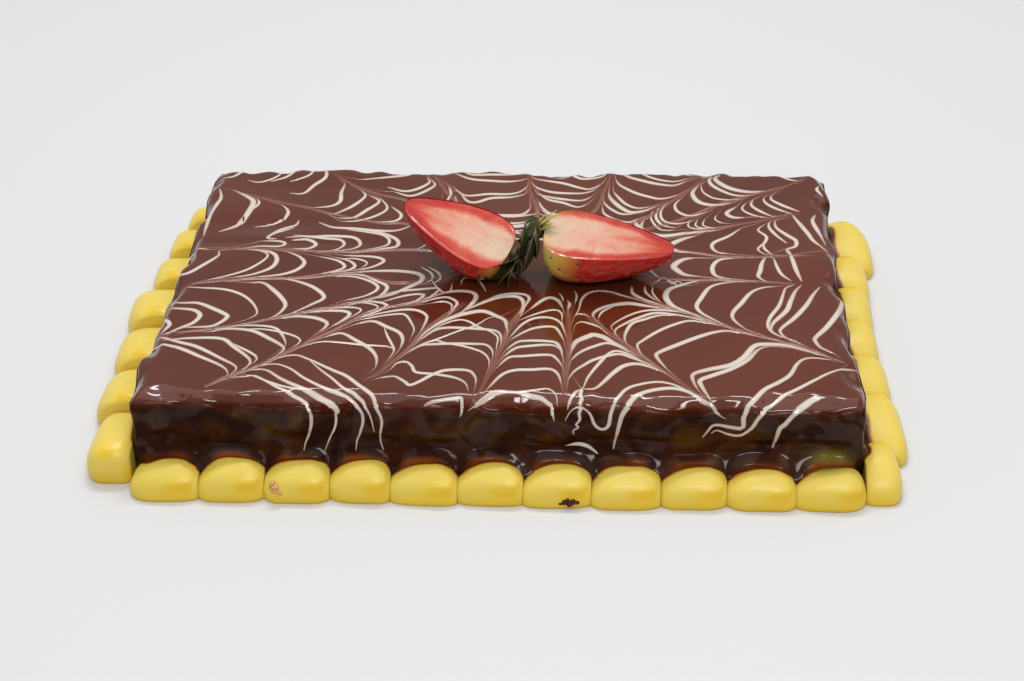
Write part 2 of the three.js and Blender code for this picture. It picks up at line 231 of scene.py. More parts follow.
def poured(x, y, z):
    """The place on the poured glaze of each spot on the cake's plain box."""
    over_x = np.maximum(0, np.abs(x) - INNER_X)
    over_y = np.maximum(0, np.abs(y) - INNER_Y)
    side = np.maximum(np.hypot(over_x, over_y), 1e-9)
    share_x, share_y = over_x**3, over_y**3
    total = np.maximum(share_x + share_y, 1e-9)
    level = np.minimum(z, INNER_Z)
    rows_x = np.where(x < 0, *(skirt(row, y, z) - side_inset(row, y, level) for row in ("left", "right")))
    rows_y = np.where(y < 0, *(skirt(row, x, z) - side_inset(row, x, level) for row in ("front", "back")))
    ring = np.maximum(over_x, over_y)
    push = (share_x * rows_x + share_y * rows_y) / total * ring / RIM_ROUND
    over_ring = np.maximum(0, ring - RIM_ROUND + EDGE_ROUND)
    over_z = np.maximum(0, z - INNER_Z)
    rounding = np.maximum(over_ring, over_z) / np.maximum(np.hypot(over_ring, over_z), 1e-9)
    ring = ring - over_ring + over_ring * rounding + push
    at_x = np.sign(x) * (np.minimum(np.abs(x), INNER_X) + ring * over_x / side)
    at_y = np.sign(y) * (np.minimum(np.abs(y), INNER_Y) + ring * over_y / side)
    at_z = level + over_z * rounding
    crown = np.clip(z / CAKE_HEIGHT * 5 - 4, 0, 1)
    at_z = at_z + (top_relief(x, y) - rim_fall(x, y)) * crown
    return np.stack([at_x * (1 - waist(at_y)), at_y, at_z], -1)


def lattice(rows, columns):
    """The four-sided faces of a sheet of rows by columns points."""
    spot = np.arange(rows * columns).reshape(rows, columns)
    return np.stack([spot[:-1, :-1], spot[1:, :-1], spot[1:, 1:], spot[:-1, 1:]], -1).reshape(-1, 4)


def make_piece(name, points, faces, finishes, notes=None, weld=False):
    """A smooth mesh from points in millimetres from the cake's middle; notes are values per point."""
    mesh = bpy.data.meshes.new(name)
    placed = np.asarray(points) * MM + np.array(MIDDLE)
    mesh.from_pydata(placed.tolist(), [], [tuple(face) for face in faces])
    for note, values in (notes or {}).items():
        mesh.attributes.new(note, "FLOAT", "POINT").data.foreach_set("value", np.ravel(values))
    if weld:
        work = bmesh.new()
        work.from_mesh(mesh)
        bmesh.ops.remove_doubles(work, verts=work.verts, dist=0.002 * MM)
        bmesh.ops.recalc_face_normals(work, faces=work.faces)
        work.to_mesh(mesh)
        work.free()
    mesh.shade_smooth()
    for finish in finishes:
        mesh.materials.append(finish)
    piece = bpy.data.objects.new(name, mesh)
    scene.collection.objects.link(piece)
    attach(piece, "root")
    return piece


def even_lines(start, end, step):
    return np.linspace(start, end, int(abs(end - start) / step) + 1)


edge_lines = EDGE_ROUND * np.tan(np.linspace(0, math.pi / 4, 6)[1:])


def lines_across(half):
    rim = np.concatenate([even_lines(half - 9, half - EDGE_ROUND, 0.55), half - EDGE_ROUND + edge_lines])
    return np.concatenate([-rim[::-1], even_lines(9 - half, half - 9, 1.4)[1:-1], rim])


lines_x, lines_y = lines_across(HALF_X), lines_across(HALF_Y)
# The mesh is finer down the skirt than on the wall above it
SKIRT_LINES_TO, WALL_LINES_FROM = 15.8, 16.4
skirt_lines = even_lines(5, SKIRT_LINES_TO, 0.4)
wall_lines = even_lines(WALL_LINES_FROM, INNER_Z, 0.7)
lines_z = np.concatenate([[0, 3], skirt_lines, wall_lines, INNER_Z + edge_lines])
cake_points, cake_faces, count = [], [], 0
for x, y, z in (
    (lines_x[:, None], lines_y[None], CAKE_HEIGHT),
    (lines_x[:, None], -HALF_Y, lines_z[None]),
    (lines_x[:, None], HALF_Y, lines_z[None]),
    (-HALF_X, lines_y[:, None], lines_z[None]),
    (HALF_X, lines_y[:, None], lines_z[None]),
    (lines_x[[0, -1], None], lines_y[None], 0),
):
    x, y, z = np.broadcast_arrays(x, y, z)
    cake_faces.append(lattice(*x.shape) + count)
    cake_points.append(poured(x, y, z).reshape(-1, 3))
    count += x.size


def lay(tree, kind, inputs, **settings):
    """Adds one node to a material: sockets are linked, and plain values are set on the node."""
    made = tree.nodes.new(kind)
    for name, value in settings.items():
        setattr(made, name, value)
    for name, value in inputs.items():
        if isinstance(value, bpy.types.NodeSocket):
            tree.links.new(value, made.inputs[name])
        else:
            made.inputs[name].default_value = value
    return made


def colour_ramp(tree, value, stops):
    """Colours from a value, through stops that are each a position and a colour."""
    made = lay(tree, "ShaderNodeValToRGB", {"Fac": value})
    elements = made.color_ramp.elements
    elements[0].position, elements[0].color = stops[0]
    elements[1].position, elements[1].color = stops[-1]
    for position, colour in stops[1:-1]:
        elements.new(position).color = colour
    return made.outputs["Color"]


def blend(tree, share, first, second):
    """Colours that go from the first to the second as the share goes from 0 to 1."""
    made = lay(tree, "ShaderNodeMix", {"Factor": share, "A": first, "B": second}, data_type="RGBA")
    return made.outputs["Result"]


GLAZE_BROWN = (0.115, 0.020, 0.006, 1)
glaze, tree, shader = new_finish("chocolate_glaze")
place = tree.nodes.new("ShaderNodeTexCoord").outputs["Object"]
steep = lay(tree, "ShaderNodeAttribute", {}, attribute_name="steep").outputs["Fac"]
cloud = lay(tree, "ShaderNodeTexNoise", {"Vector": place, "Scale": 14, "Detail": 2}).outputs["Fac"]
milky = colour_ramp(tree, cloud, [
    (0.35, (0.078, 0.0155, 0.0058, 1)),
    (0.65, (0.104, 0.021, 0.0075, 1)),
])
# Painted shade: the sides are the same glaze as the top but painted darker, red-brown just under the rim and
# darker still lower down, with browner patches from the noise.
under = lay(tree, "ShaderNodeAttribute", {}, attribute_name="under").outputs["Fac"]
cloud = lay(tree, "ShaderNodeTexNoise", {"Vector": place, "Scale": 55, "Detail": 2, "Distortion": 1.5})
cloud = cloud.outputs["Fac"]
wall_shade = colour_ramp(tree, cloud, [
    (0.40, (0.018, 0.005, 0.003, 1)),
    (0.58, (0.038, 0.010, 0.003, 1)),
    (0.72, (0.060, 0.026, 0.003, 1)),
])
wall = blend(tree, under, (0.060, 0.009, 0.0025, 1), wall_shade)
thin = lay(tree, "ShaderNodeAttribute", {}, attribute_name="thin").outputs["Fac"]
wall = blend(tree, thin, wall, (0.14, 0.105, 0.012, 1))
lip = lay(tree, "ShaderNodeAttribute", {}, attribute_name="lip").outputs["Fac"]
wall = blend(tree, lip, wall, (0.20, 0.045, 0.005, 1))
shade = blend(tree, steep, milky, wall)
tree.links.new(shade, shader.inputs["Base Color"])
patch = lay(tree, "ShaderNodeTexNoise", {"Vector": place, "Scale": 48, "Detail": 1, "Distortion": 2.0})
patch = lay(tree, "ShaderNodeMapRange", {
    "Value": patch.outputs["Fac"], "From Min": 0.46, "From Max": 0.54, "To Min": 0.03, "To Max": 0.17,
})
shine = lay(tree, "ShaderNodeMix", {"Factor": steep, "A": 0.5, "B": patch.outputs["Result"]})
tree.links.new(shine.outputs["Result"], shader.inputs["Specular IOR Level"])
dull = lay(tree, "ShaderNodeMapRange", {"Value": steep, "To Min": 0.08, "To Max": 0.12})
tree.links.new(dull.outputs["Result"], shader.inputs["Roughness"])
flow = lay(tree, "ShaderNodeTexNoise", {"Vector": place, "Scale": 90, "Detail": 2})
bump = lay(tree, "ShaderNodeBump", {"Height": flow.outputs["Fac"], "Strength": 0.06, "Distance": 0.002})
tree.links.new(bump.outputs["Normal"], shader.inputs["Normal"])

cake_points = np.concatenate(cake_points)
# steep marks the sides below a wavy line just under the rim, which take the painted shade; under grows over
# the first few millimetres below that line, where the painted shade darkens.
rim_line = DARK_BELOW + 0.35 * wander(cake_points[:, 0] / 3, cake_points[:, 1] / 3, 6)
steep_notes = smooth_step(rim_line - cake_points[:, 2], -0.7, 0.7)
under_notes = smooth_step(rim_line - cake_points[:, 2], 0.2, 3.4)
# Near the front right corner the glaze is thin, and the biscuit shows through
thin_notes = hill(cake_points[:, 0], cake_points[:, 2], THIN_X, THIN_Z, THIN_WIDE, THIN_HIGH)
thin_notes = thin_notes * (cake_points[:, 1] < 0)
lip_notes = np.zeros(len(cake_points))
for row, (along, out) in {"front": (0, -1), "back": (0, 1), "left": (1, -1), "right": (1, 1)}.items():
    edge, dip = skirt_edge(row, cake_points[:, along])
    beyond = out * cake_points[:, 1 - along] - (HALF_X if along else HALF_Y)
    uneven = 0.7 + 0.6 * wander(cake_points[:, along] / 3, 0.0, 5)
    here = (1 - dip) ** 3 * uneven * smooth_step(edge + 1.0 - cake_points[:, 2], 0, 1.2) * (beyond > 0)
    lip_notes = np.maximum(lip_notes, here)
cake_notes = {"steep": steep_notes, "under": under_notes, "thin": np.minimum(1, 1.4 * thin_notes),
              "lip": np.clip(lip_notes, 0, 1)}
cake = make_piece("cake_glazed", cake_points, np.concatenate(cake_faces), [glaze], cake_notes, weld=True)
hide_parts("cake")


# The white web: rings of thin white icing piped on the wet glaze, then drawn with a point from the
# middle outwards, so each ring hangs in loops between nineteen drawn lines. A stroke is its width and
# then x, y along it in millimetres, as the camera sees it laid flat on the level of the top.
WEB_STROKES = [
    # front left, between drawn lines 17 and 18
    (1.9, -129, -58, -119.5, -54, -110, -59.5, -100, -66, -97, -71),
    (1.9, -128, -52, -119.5, -50.5, -112, -53.5, -102, -60.5, -95, -66, -95.5, -70),
    (2, -125, -49.5, -116, -48, -104, -48, -98, -53.5, -90.5, -62, -92, -68),
    (1.3, -100, -50.5, -89, -59, -89, -63.5),
    (2, -109.5, -43.5, -102.5, -41.5, -93.5, -42.5, -86, -47.5, -79.5, -53.5, -81, -58),
    (1.4, -101, -39.5, -92, -39, -85, -40.5, -81, -46, -79, -52),
    (1.2, -99.5, -42, -89, -41.5, -78, -45, -74, -49, -76.5, -53.5),
    (2, -84, -34, -77.5, -32.5, -70.5, -33.5, -66, -36.5, -66, -39.5, -68, -43),
    (1.8, -74, -29.5, -67.5, -28.5, -60.5, -28.5, -58, -30.5, -59.5, -34, -64, -39.5),
    (1.2, -70.5, -26.5, -62.5, -26, -56.5, -26, -54, -28, -58, -33.5),
    (1.6, -60, -22.5, -52.5, -21.5, -46.5, -22.5, -44.5, -24, -48, -28.5, -54.5, -33),
    (1, -60, -24, -54.5, -22.5, -49, -24, -48, -26.5, -52, -29.5),
    (1.6, -51, -19.5, -42, -14.5, -32.5, -12.5, -26.5, -11.5, -25.5, -12.5, -28, -17, -32.5, -21.5),
    (1.4, -46.5, -21.5, -39, -17.5, -33.5, -16, -31, -16.5, -33.5, -20.5, -38, -24),
    # front left of the middle, between drawn lines 18 and 19
    (1.8, -55, -37.5, -51, -35.5, -47.5, -35.5, -43.5, -38.5, -38, -42.5, -36, -47.5, -36.5, -53.5),
    (1.1, -44, -39, -42, -45, -39.5, -51, -38.5, -54, -39, -58),
    (1.8, -65, -46, -59.5, -43.5, -53.5, -48, -47.5, -53.5, -44.5, -59, -44, -65),
    (1.1, -74, -53.5, -67, -49.5, -60, -49.5, -50, -51, -41, -52, -38.5, -54.5, -40, -60),
    (1.2, -55, -35, -47.5, -32, -39.5, -30, -36.5, -31, -34, -36, -32.5, -40.5, -33, -45),
    (1.6, -52.5, -32.5, -46, -29.5, -38, -27, -32.5, -27.5, -29, -30.5, -28.5, -34, -30, -42),
    # front middle, between drawn lines 19 and 1
    (2.5, -30.5, -47.5, -28, -42, -24, -36.5, -19, -32, -13.5, -29, -7.5, -27.5, -2, -31, 1, -33.5, 2,
     -38, 2.5, -43),
    (1.2, -26.5, -42, -21, -36, -16, -33.5, -12, -35, -9, -38, -4, -41, -1, -45, -1, -50.5, -1, -54),
    (1, -1, -31, -5, -32, -9.5, -37, -15, -40.5, -22.5, -46, -28, -49.5, -32.5, -54),
    (1.8, -29.5, -47.5, -25, -41, -20.5, -39, -15, -39, -9, -39.5, -2.5, -40.5, 0, -43.5, 0.5, -49.5),
    (1.8, -33.5, -56, -29, -51, -24, -50, -18, -49.5, -10.5, -49.5, -5, -50, -2.5, -53.5, -2, -57.5),
    (1.3, -29.5, -51, -24, -47.5, -20.5, -49, -13.5, -51, -6.5, -54.5, -3.5, -59, -3, -64),
    (1.5, -38.5, -66.5, -36.5, -62.5, -33.5, -61.5, -31, -64, -29, -68, -22.5, -69, -15, -71, -11, -74,
     -9.5, -78),
    (1.8, -42, -72, -39, -71, -36, -71, -32.5, -74, -30.5, -76, -27.5, -74, -22.5, -69, -18, -66.5,
     -10.5, -66.5, -7.5, -70.5, -7, -75),
    (2, -30, -19.5, -23.5, -15, -18, -13.5, -12.5, -14.5, -11, -18.5, -13.5, -25, -17.5, -30.5),
    (1.4, -32.5, -22.5, -27.5, -19.5, -22, -18, -18, -21.5, -18.5, -25, -21, -31.5),
    (1, -28, -22.5, -23.5, -21, -20, -23, -20, -27),
    (1.6, -9, -22.5, -3.5, -17, 2, -15, 7.5, -15.5, 9.5, -18.5, 8, -24, 6.5, -31.5),
    (2.4, -14.5, -27, -5.5, -19.5, 0, -17, 5.5, -17.5, 7.5, -22.5, 6, -29.5),
    # front right of the middle, between drawn lines 1 and 2
    (1.3, 6.5, -33.5, 12.5, -29, 19, -26, 22, -28, 22.5, -33.5),
    (1.6, 3.5, -45, 7.5, -36.5, 12, -32, 18, -31.5, 22, -35, 24, -42.5),
    (1.6, 4, -46.5, 9.5, -40.5, 14, -38, 19, -37.5, 21, -39.5, 23.5, -46.5),
    (1.7, 2.5, -53.5, 6.5, -48, 10.5, -47, 16, -47, 20.5, -48, 22.5, -52, 23.5, -57.5),
    (1.7, 2, -57.5, 6, -52, 10.5, -50.5, 17.5, -49.5, 21, -50.5, 23, -54),
    (1.7, 0.5, -63.5, 4, -58, 9, -57, 18, -56, 21, -58, 23.5, -63.5),
    (1.8, -2.5, -77.5, 2, -69, 6.5, -66, 12.5, -65.5, 19, -65, 22, -68, 23.5, -74),
    (2, 10, -26, 14.5, -19.5, 17.5, -17.5, 20.5, -19.5, 22.5, -25),
    (1.6, 24, -19.5, 25, -21.5, 24.5, -26),
    (0.8, 20.5, -14, 22, -17, 22.5, -20.5),
    (0.9, 26.5, -12.5, 27.5, -16, 27, -21.5),
    # front right, between drawn lines 2 and 3
    (1.3, 27, -30.5, 28.5, -26, 29.5, -18.5, 32, -14, 35.5, -12.5, 40, -13, 46, -16, 54, -20),
    (1, 27, -30.5, 28.5, -28.5, 31, -29, 33.5, -31.5),
    (1.2, 27.5, -36, 29.5, -34, 32.5, -35, 36.5, -37.5, 40, -42.5),
    (3, 26.5, -53.5, 28, -47.5, 32, -44, 34, -42.5, 38, -44, 41.5, -47.5, 47, -52),
    (1.7, 26.5, -59.5, 29, -55, 32, -52, 35, -50, 39, -48, 43, -49.5, 48, -54),
    (1.7, 26, -71, 28, -66, 31, -62.5, 34.5, -59, 40, -56, 44.5, -55, 49, -57.5, 56, -62),
    (1.5, 31, -77.5, 33, -69.5, 37, -60.5, 40, -55, 43, -53, 47.5, -55, 53, -60),
    (2, 31.5, -77, 35.5, -76.5, 38.5, -72.5, 41.5, -67.5, 45.5, -62.5, 50, -61, 54.5, -62.5, 60, -66),
    # right of the front, between drawn lines 3 and 4
    (2.4, 34.5, -31.5, 34, -28.5, 36.5, -25, 41, -22.5, 47.5, -21, 53.5, -22.5, 60, -24),
    (1, 36, -32, 37.5, -27, 42, -23),
    (1.4, 41.5, -39.5, 41, -36.5, 44.5, -32, 50, -27.5, 55.5, -25.5, 61, -25.5, 67, -26.5, 73, -29.5,
     80, -33.5),
    (1.8, 43, -43.5, 42.5, -39, 47, -34, 51.5, -30.5, 57, -27.5, 63, -28, 70, -30, 76, -32.5),
    (1.8, 46.5, -48, 46, -42.5, 48.5, -35, 53, -32, 59, -29, 65, -29),
    (1.7, 52.5, -56, 50.5, -49.5, 52.5, -46, 58.5, -39.5, 64.5, -35, 70, -32.5, 75.5, -33.5, 80, -35),
    (2.2, 61, -64, 57.5, -56.5, 58.5, -53.5, 64.5, -49, 72.5, -43.5, 79, -40, 84, -39, 89.5, -40.5),
    (2.6, 71.5, -76, 70, -69.5, 71, -66.5, 76, -64, 84, -61, 89, -56, 93, -49, 97, -47.5, 104, -48, 111,
     -51, 117, -54),
    (2.2, 76, -83.5, 73, -74, 73, -70.5, 77.5, -67.5, 84, -63.5, 90, -58, 94.5, -51, 98.5, -49),
    # right side, between drawn lines 4 and 5
    (1.8, 48.5, -9, 49, -14, 53.5, -18.5, 58.5, -21),
    (1.2, 53.5, -8.5, 54, -13.5, 58, -19),
    (1, 56.5, -8.5, 56.5, -13.5, 59.5, -20),
    (2.6, 75, -4, 66, -8.5, 62.5, -11.5, 61.5, -16.5, 64, -22.5, 69, -26.5, 75, -30),
    (2, 89, -5, 83.5, -6, 78.5, -9, 75, -16.5, 73, -22.5, 75, -27.5, 81.5, -33.5),
    (2, 103.5, -8, 98.5, -9, 94, -12.5, 90, -20, 86.5, -26.5, 86.5, -31.5, 90.5, -37.5),
    (1.7, 111, -6.5, 107.5, -9, 106, -14, 104, -21.5, 100, -30, 99, -36.5, 101.5, -41, 107.5, -44.5),
    (2.2, 113.5, -7, 111, -11, 108.5, -18.5, 106.5, -25, 101, -33.5, 100, -38.5, 102.5, -41.5),
    (2.2, 120.5, -8, 117.5, -13.5, 114, -21.5, 109, -30, 103.5, -37.5, 104, -41.5, 106.5, -44.5),
    (2.4, 129, -16.5, 126.5, -24, 121, -35, 116, -42.5, 115.5, -45, 117, -49, 121, -52.5),
    # right side, between drawn lines 5 and 6
    (3, 73.5, 12.5, 68.5, 11, 65, 6.5, 66, 3.5, 69, 0, 73.5, -1),
    (2, 89, 12.5, 83.5, 11.5, 80.5, 7.5, 80, 2.5, 81.5, -1, 86, -2.5),
    (2, 101.5, 13.5, 99.5, 9, 98.5, 3.5, 97.5, -1, 100, -4),
    (1.5, 104, 13, 105, 7.5, 106.5, 1, 110, -4),
    (2, 110, 20, 111.5, 12.5, 112.5, 3.5, 114, -4.5),
    # right side, between drawn lines 6 and 7
    (3, 74, 29.5, 68.5, 26.5, 63.5, 21.5, 66, 18, 72.5, 16.5),
    (2, 92.5, 35.5, 87.5, 29.5, 81.5, 24.5, 80.5, 20.5, 82.5, 17, 86.5, 16),
    (1.6, 102.5, 39, 99.5, 34.5, 102.5, 29.5, 101.5, 24.5, 98.5, 19.5, 101.5, 15.5),
    (1.4, 101.5, 24, 101, 20.5, 104, 15.5),
    (1.6, 105, 41.5, 104, 37, 106.5, 30.5, 110.5, 24),
    (2, 107, 42, 107, 36.5, 111, 30.5, 114, 26.5, 113.5, 22, 110, 19.5, 111, 15.5),
    (2, 113.5, 48, 116, 41.5, 119, 33, 121.5, 25.5, 126.5, 16.5),
    (2, 123.5, 47, 122, 42, 123.5, 34, 125.5, 23),
    # back right, between drawn lines 7 and 8
    (1.8, 103.5, 61, 104, 56.5, 108.5, 51.5, 113.5, 48.5),
    (2, 107, 63, 106.5, 59.5, 111, 54.5, 117.5, 49.5),
    (1.8, 99, 59, 98, 54.5, 101.5, 49.5, 106.5, 45.5),
    (1.3, 96, 56.5, 94, 51.5, 97.5, 47, 103.5, 44.5),
    (2.2, 91.5, 53, 87.5, 48, 90, 44.5, 95, 44.5),
    (0.9, 83.5, 46.5, 82.5, 43, 85, 40, 87.5, 39.5),
    (1, 78.5, 43, 77.5, 38, 81, 36, 86, 36.5),
    (1, 75.5, 42.5, 74.5, 37.5, 78, 35.5, 83, 36),
    (1, 72.5, 42, 71.5, 37, 75, 35, 80, 35.5),
    # back right, between drawn lines 8 and 9
    (3, 86, 80.5, 84, 76.5, 89, 69.5, 96.5, 66, 104, 66.5),
    (2, 82.5, 79, 81.5, 74, 85, 68, 91.5, 63, 98.5, 63),
    (1.2, 78, 71.5, 78.5, 65.5, 82.5, 60.5, 88.5, 59, 94, 59.5),
    (2.4, 76.5, 70.5, 74, 64, 76.5, 57, 82.5, 54.5, 90, 56.5),
    (1.6, 69, 59.5, 66.5, 54.5, 67.5, 49, 72.5, 45.5, 80, 49),
    (1.4, 62.5, 54.5, 60.5, 48, 61.5, 41.5, 66.5, 39, 73.5, 41.5),
    (1.6, 60, 52, 58.5, 44.5, 61, 38, 66.5, 36),
    (1.2, 57.5, 49.5, 56.5, 43, 60, 34.5, 66.5, 34),
    (3, 53.5, 41.5, 52.5, 34.5, 56.5, 30.5, 63.5, 29.5, 72.5, 32, 82.5, 34),
    # back, between drawn lines 9 and 10
    (2.4, 43.5, 83, 46.5, 79, 53, 75, 60, 72, 66.5, 71, 71.5, 74.5),
    (1.6, 49, 83, 56.5, 78, 62.5, 75, 67.5, 74.5, 72.5, 77),
    (2, 42, 75.5, 44, 70.5, 50, 64.5, 56, 61, 60, 59.5, 64, 60.5, 68, 63),
    (1.6, 41, 65.5, 43.5, 59.5, 46.5, 54.5, 51, 51.5, 56.5, 53),
    (2.4, 39, 64, 40, 59, 44, 52, 48.5, 48, 54, 49.5, 58.5, 53),
    (1.6, 37, 57, 39, 52, 43.5, 47, 47.5, 46.5, 51.5, 48),
    (1.6, 36.5, 52, 37.5, 46.5, 42.5, 41.5, 47.5, 40, 51.5, 43),
    (3, 50, 42, 51, 37, 55, 31.5, 60, 30.5),
    (2, 60, 83, 68, 79.5, 75, 79.5),
    # back, between drawn lines 10 and 11
    (2, 6.5, 79.5, 18.5, 78.5, 26, 77, 31.5, 76.5, 36.5, 79, 39, 81.5),
    (2, 6.5, 77, 13.5, 74, 20, 72, 27.5, 68, 31.5, 67.5, 36, 72),
    (2, 6.5, 72, 9, 68, 15, 64.5, 23.5, 63.5, 29, 64, 33.5, 67),
    (2, 9, 63, 13.5, 60.5, 20, 58.5, 27.5, 57.5, 31.5, 60.5),
    (2, 10, 63, 14, 58, 20, 55.5, 26, 52, 30, 54.5),
    (1.2, 10, 56.5, 11.5, 51.5, 15, 47, 19, 46.5),
    (1.2, 10.5, 53, 13, 49, 16.5, 45.5, 20.5, 45),
    (1.2, 11, 50, 14, 46.5, 17.5, 44, 22, 43.5),
    # back, between drawn lines 11 and 12
    (2, -25, 83, -20, 79.5, -11.5, 79.5, -3.5, 79.5, 4, 80),
    (2, -27.5, 80.5, -20, 75.5, -11.5, 74, -2.5, 73.5, 4, 76),
    (2, -26, 67, -22.5, 62, -18.5, 61, -11.5, 62.5, -3.5, 62.5, 1.5, 64.5, 4.5, 69.5),
    (2.2, -23.5, 63, -20, 56.5, -16, 55.5, -10, 59, -1.5, 60, 4, 63),
    (3, -19, 51.5, -13.5, 47, -9, 45, -3.5, 44.5, 3.5, 45.5, 6.5, 50.5),
    (3, -5, 38, -1.5, 36, 4, 36.5, 8.5, 39.5),
    (1.5, -1, 34, 2.5, 30.5, 6.5, 29.5),
    # back left, between drawn lines 12 and 13
    (2, -38.5, 76, -37.5, 72, -42, 66.5, -47.5, 64.5, -55, 68),
    (1.8, -36.5, 74, -35, 69.5, -40, 63, -45, 60.5, -52, 64),
    (1.4, -29, 69, -27.5, 63, -28.5, 57, -31, 55.5),
    (1, -25.5, 60.5, -24.5, 54.5, -24, 49),
    # back left, between drawn lines 13 and 14
    (2, -73.5, 70.5, -74, 63, -73.5, 55.5, -76.5, 51.5, -83.5, 50),
    (2, -65.5, 64.5, -63.5, 59.5, -68.5, 50.5, -75, 44.5),
    (2, -61.5, 60.5, -57, 55.5, -61.5, 48, -66, 42, -72.5, 41.5),
    (1.5, -57.5, 59, -53, 50.5, -56, 44.5, -63.5, 39.5, -71, 39),
    (1.6, -51.5, 51.5, -46.5, 44.5, -48.5, 39.5, -56, 38.5),
    # left side, between drawn lines 14 and 15
    (2.2, -80, 38, -73.5, 34, -64, 33, -55, 31.5, -46.5, 32, -40, 37),
    (1.6, -67.5, 32, -59.5, 30.5, -52, 28, -49, 23.5, -50.5, 19.5, -58, 16.5),
    (2, -66, 32, -55, 30.5, -46.5, 25, -45.5, 19.5, -50.5, 17.5, -62, 14),
    (2, -89, 27.5, -81, 26.5, -73.5, 27, -64, 26, -60.5, 21, -62.5, 17.5, -67.5, 16),
    (1.5, -92, 25.5, -85, 26.5, -75, 25, -69, 24, -67, 20.5, -69.5, 16.5, -75, 14.5),
    (1.6, -89, 33.5, -96.5, 29, -99, 25, -95, 24.5),
    (1.8, -89, 23.5, -82.5, 24, -78.5, 20.5, -81, 17, -87.5, 17),
    (1.6, -101, 22.5, -93.5, 22.5, -91, 20.5, -93.5, 18.5, -101, 18.5, -108, 16.5),
    # left side, between drawn lines 15 and 16
    (1.8, -66, 12, -53.5, 11, -49.5, 8, -53.5, 3.5, -59.5, 1),
    (1.2, -67.5, 9.5, -60.5, 9.5, -56, 6.5, -58, 2.5),
    (1.6, -69.5, 10.5, -63.5, 8, -60.5, 4, -63.5, 0.5, -71, -1),
    (1.6, -76, 11, -68, 8, -64.5, 3.5, -67.5, 0.5, -73.5, -2),
    (2, -89.5, 14.5, -84, 11, -81, 6, -83.5, 0.5, -89.5, -3, -97.5, -4.5),
    (2, -106, 16, -96, 14, -92.5, 9, -93.5, 2.5, -99.5, -2.5, -106.5, -5),
    (1.4, -102, 15.5, -97, 12.5, -97.5, 8, -102.5, 1, -109, -3.5, -117.5, -7.5),
    (2, -117, 14.5, -116.5, 11, -121, 4, -126, -2.5, -129, -8, -128.5, -15),
    (1.2, -120.5, 15.5, -126.5, 12.5, -128, 6.5, -128.5, 1),
    (2.4, -60, -0.5, -51, 0.5, -42, 0.5, -34.5, -1.5, -33, -6, -38, -11.5, -44.5, -17, -51, -19.5),
    (1.2, -34.5, 4, -30, -0.5, -29, -5, -32, -8.5),
    (1.2, -31.5, 4, -27, -0.5, -26, -5, -29, -8.5),
    # left side, between drawn lines 16 and 17
    (1.8, -66, -2.5, -57.5, -2.5, -51, -6.5, -46, -11, -48, -17.5, -53.5, -20.5),
    (1.6, -69, -3.5, -59.5, -4, -52, -8, -49.5, -12.5, -53.5, -17.5, -61, -21),
    (2, -89, -5.5, -81, -8, -74, -12.5, -69.5, -19, -73.5, -24, -80.5, -30.5),
    (2.2, -100.5, -9, -95, -9, -90.5, -13.5, -86, -19.5, -83.5, -25, -85, -30.5, -88, -34),
    (1.6, -125, -14, -119.5, -13, -109.5, -14, -102, -17.5, -96.5, -23.5, -93.5, -30.5, -96, -34.5),
    (2.2, -128, -26.5, -124, -24, -117.5, -24, -110.5, -28, -105, -32, -104.5, -34, -106.5, -37.5, -110,
     -40, -119.5, -41),
    (2, -128, -30.5, -123.5, -28, -118, -29, -115, -32.5, -116.5, -37.5, -120.5, -41, -126, -46),
    (1.8, -128, -36.5, -126, -37.5, -125.5, -40.5, -127.5, -47.5),
    # the two back corners
    (2, -126.5, 65.5, -124.5, 57, -126, 44.5, -126, 34.5, -125.5, 25.5),
    (2.8, -120, 64, -113.5, 59, -110, 54, -111, 43, -113.5, 34.5, -120, 29.5),
    (1.4, -109, 57, -107.5, 53, -110, 46.5),
    (1.8, -107.5, 85.5, -114, 80.5, -122.5, 76.5, -127.5, 71.5),
    (1.4, -99, 84, -103.5, 77, -110, 71.5, -116, 73),
    (1.6, -94, 84, -99, 77, -106, 72),
    (1.4, -86.5, 84, -90, 78, -97.5, 72),
    (2, -83.5, 83, -82.5, 77, -86.5, 69, -90, 62, -96, 62),
    (1.8, -97.5, 52, -94, 46.5, -95, 39.5, -100, 35.5, -106, 33.5),
    (1.8, -88.5, 39.5, -89, 35.5, -95, 31.5, -99, 26.5),
    (1.6, 107.5, 81.5, 113.5, 78, 119, 75.5),
    (1.6, 127, 71, 126, 68, 128, 62),
    # front left, at the rim
    (1.2, -89.5, -71, -76.5, -77.5, -66, -80.5),
]

# Strokes that start with a thick blunt end, where the icing bag was lifted
BLUNT_STROKES = [
    (2.2, -45, 82, -46.5, 79, -56, 76.5, -66.5, 74.5),
]

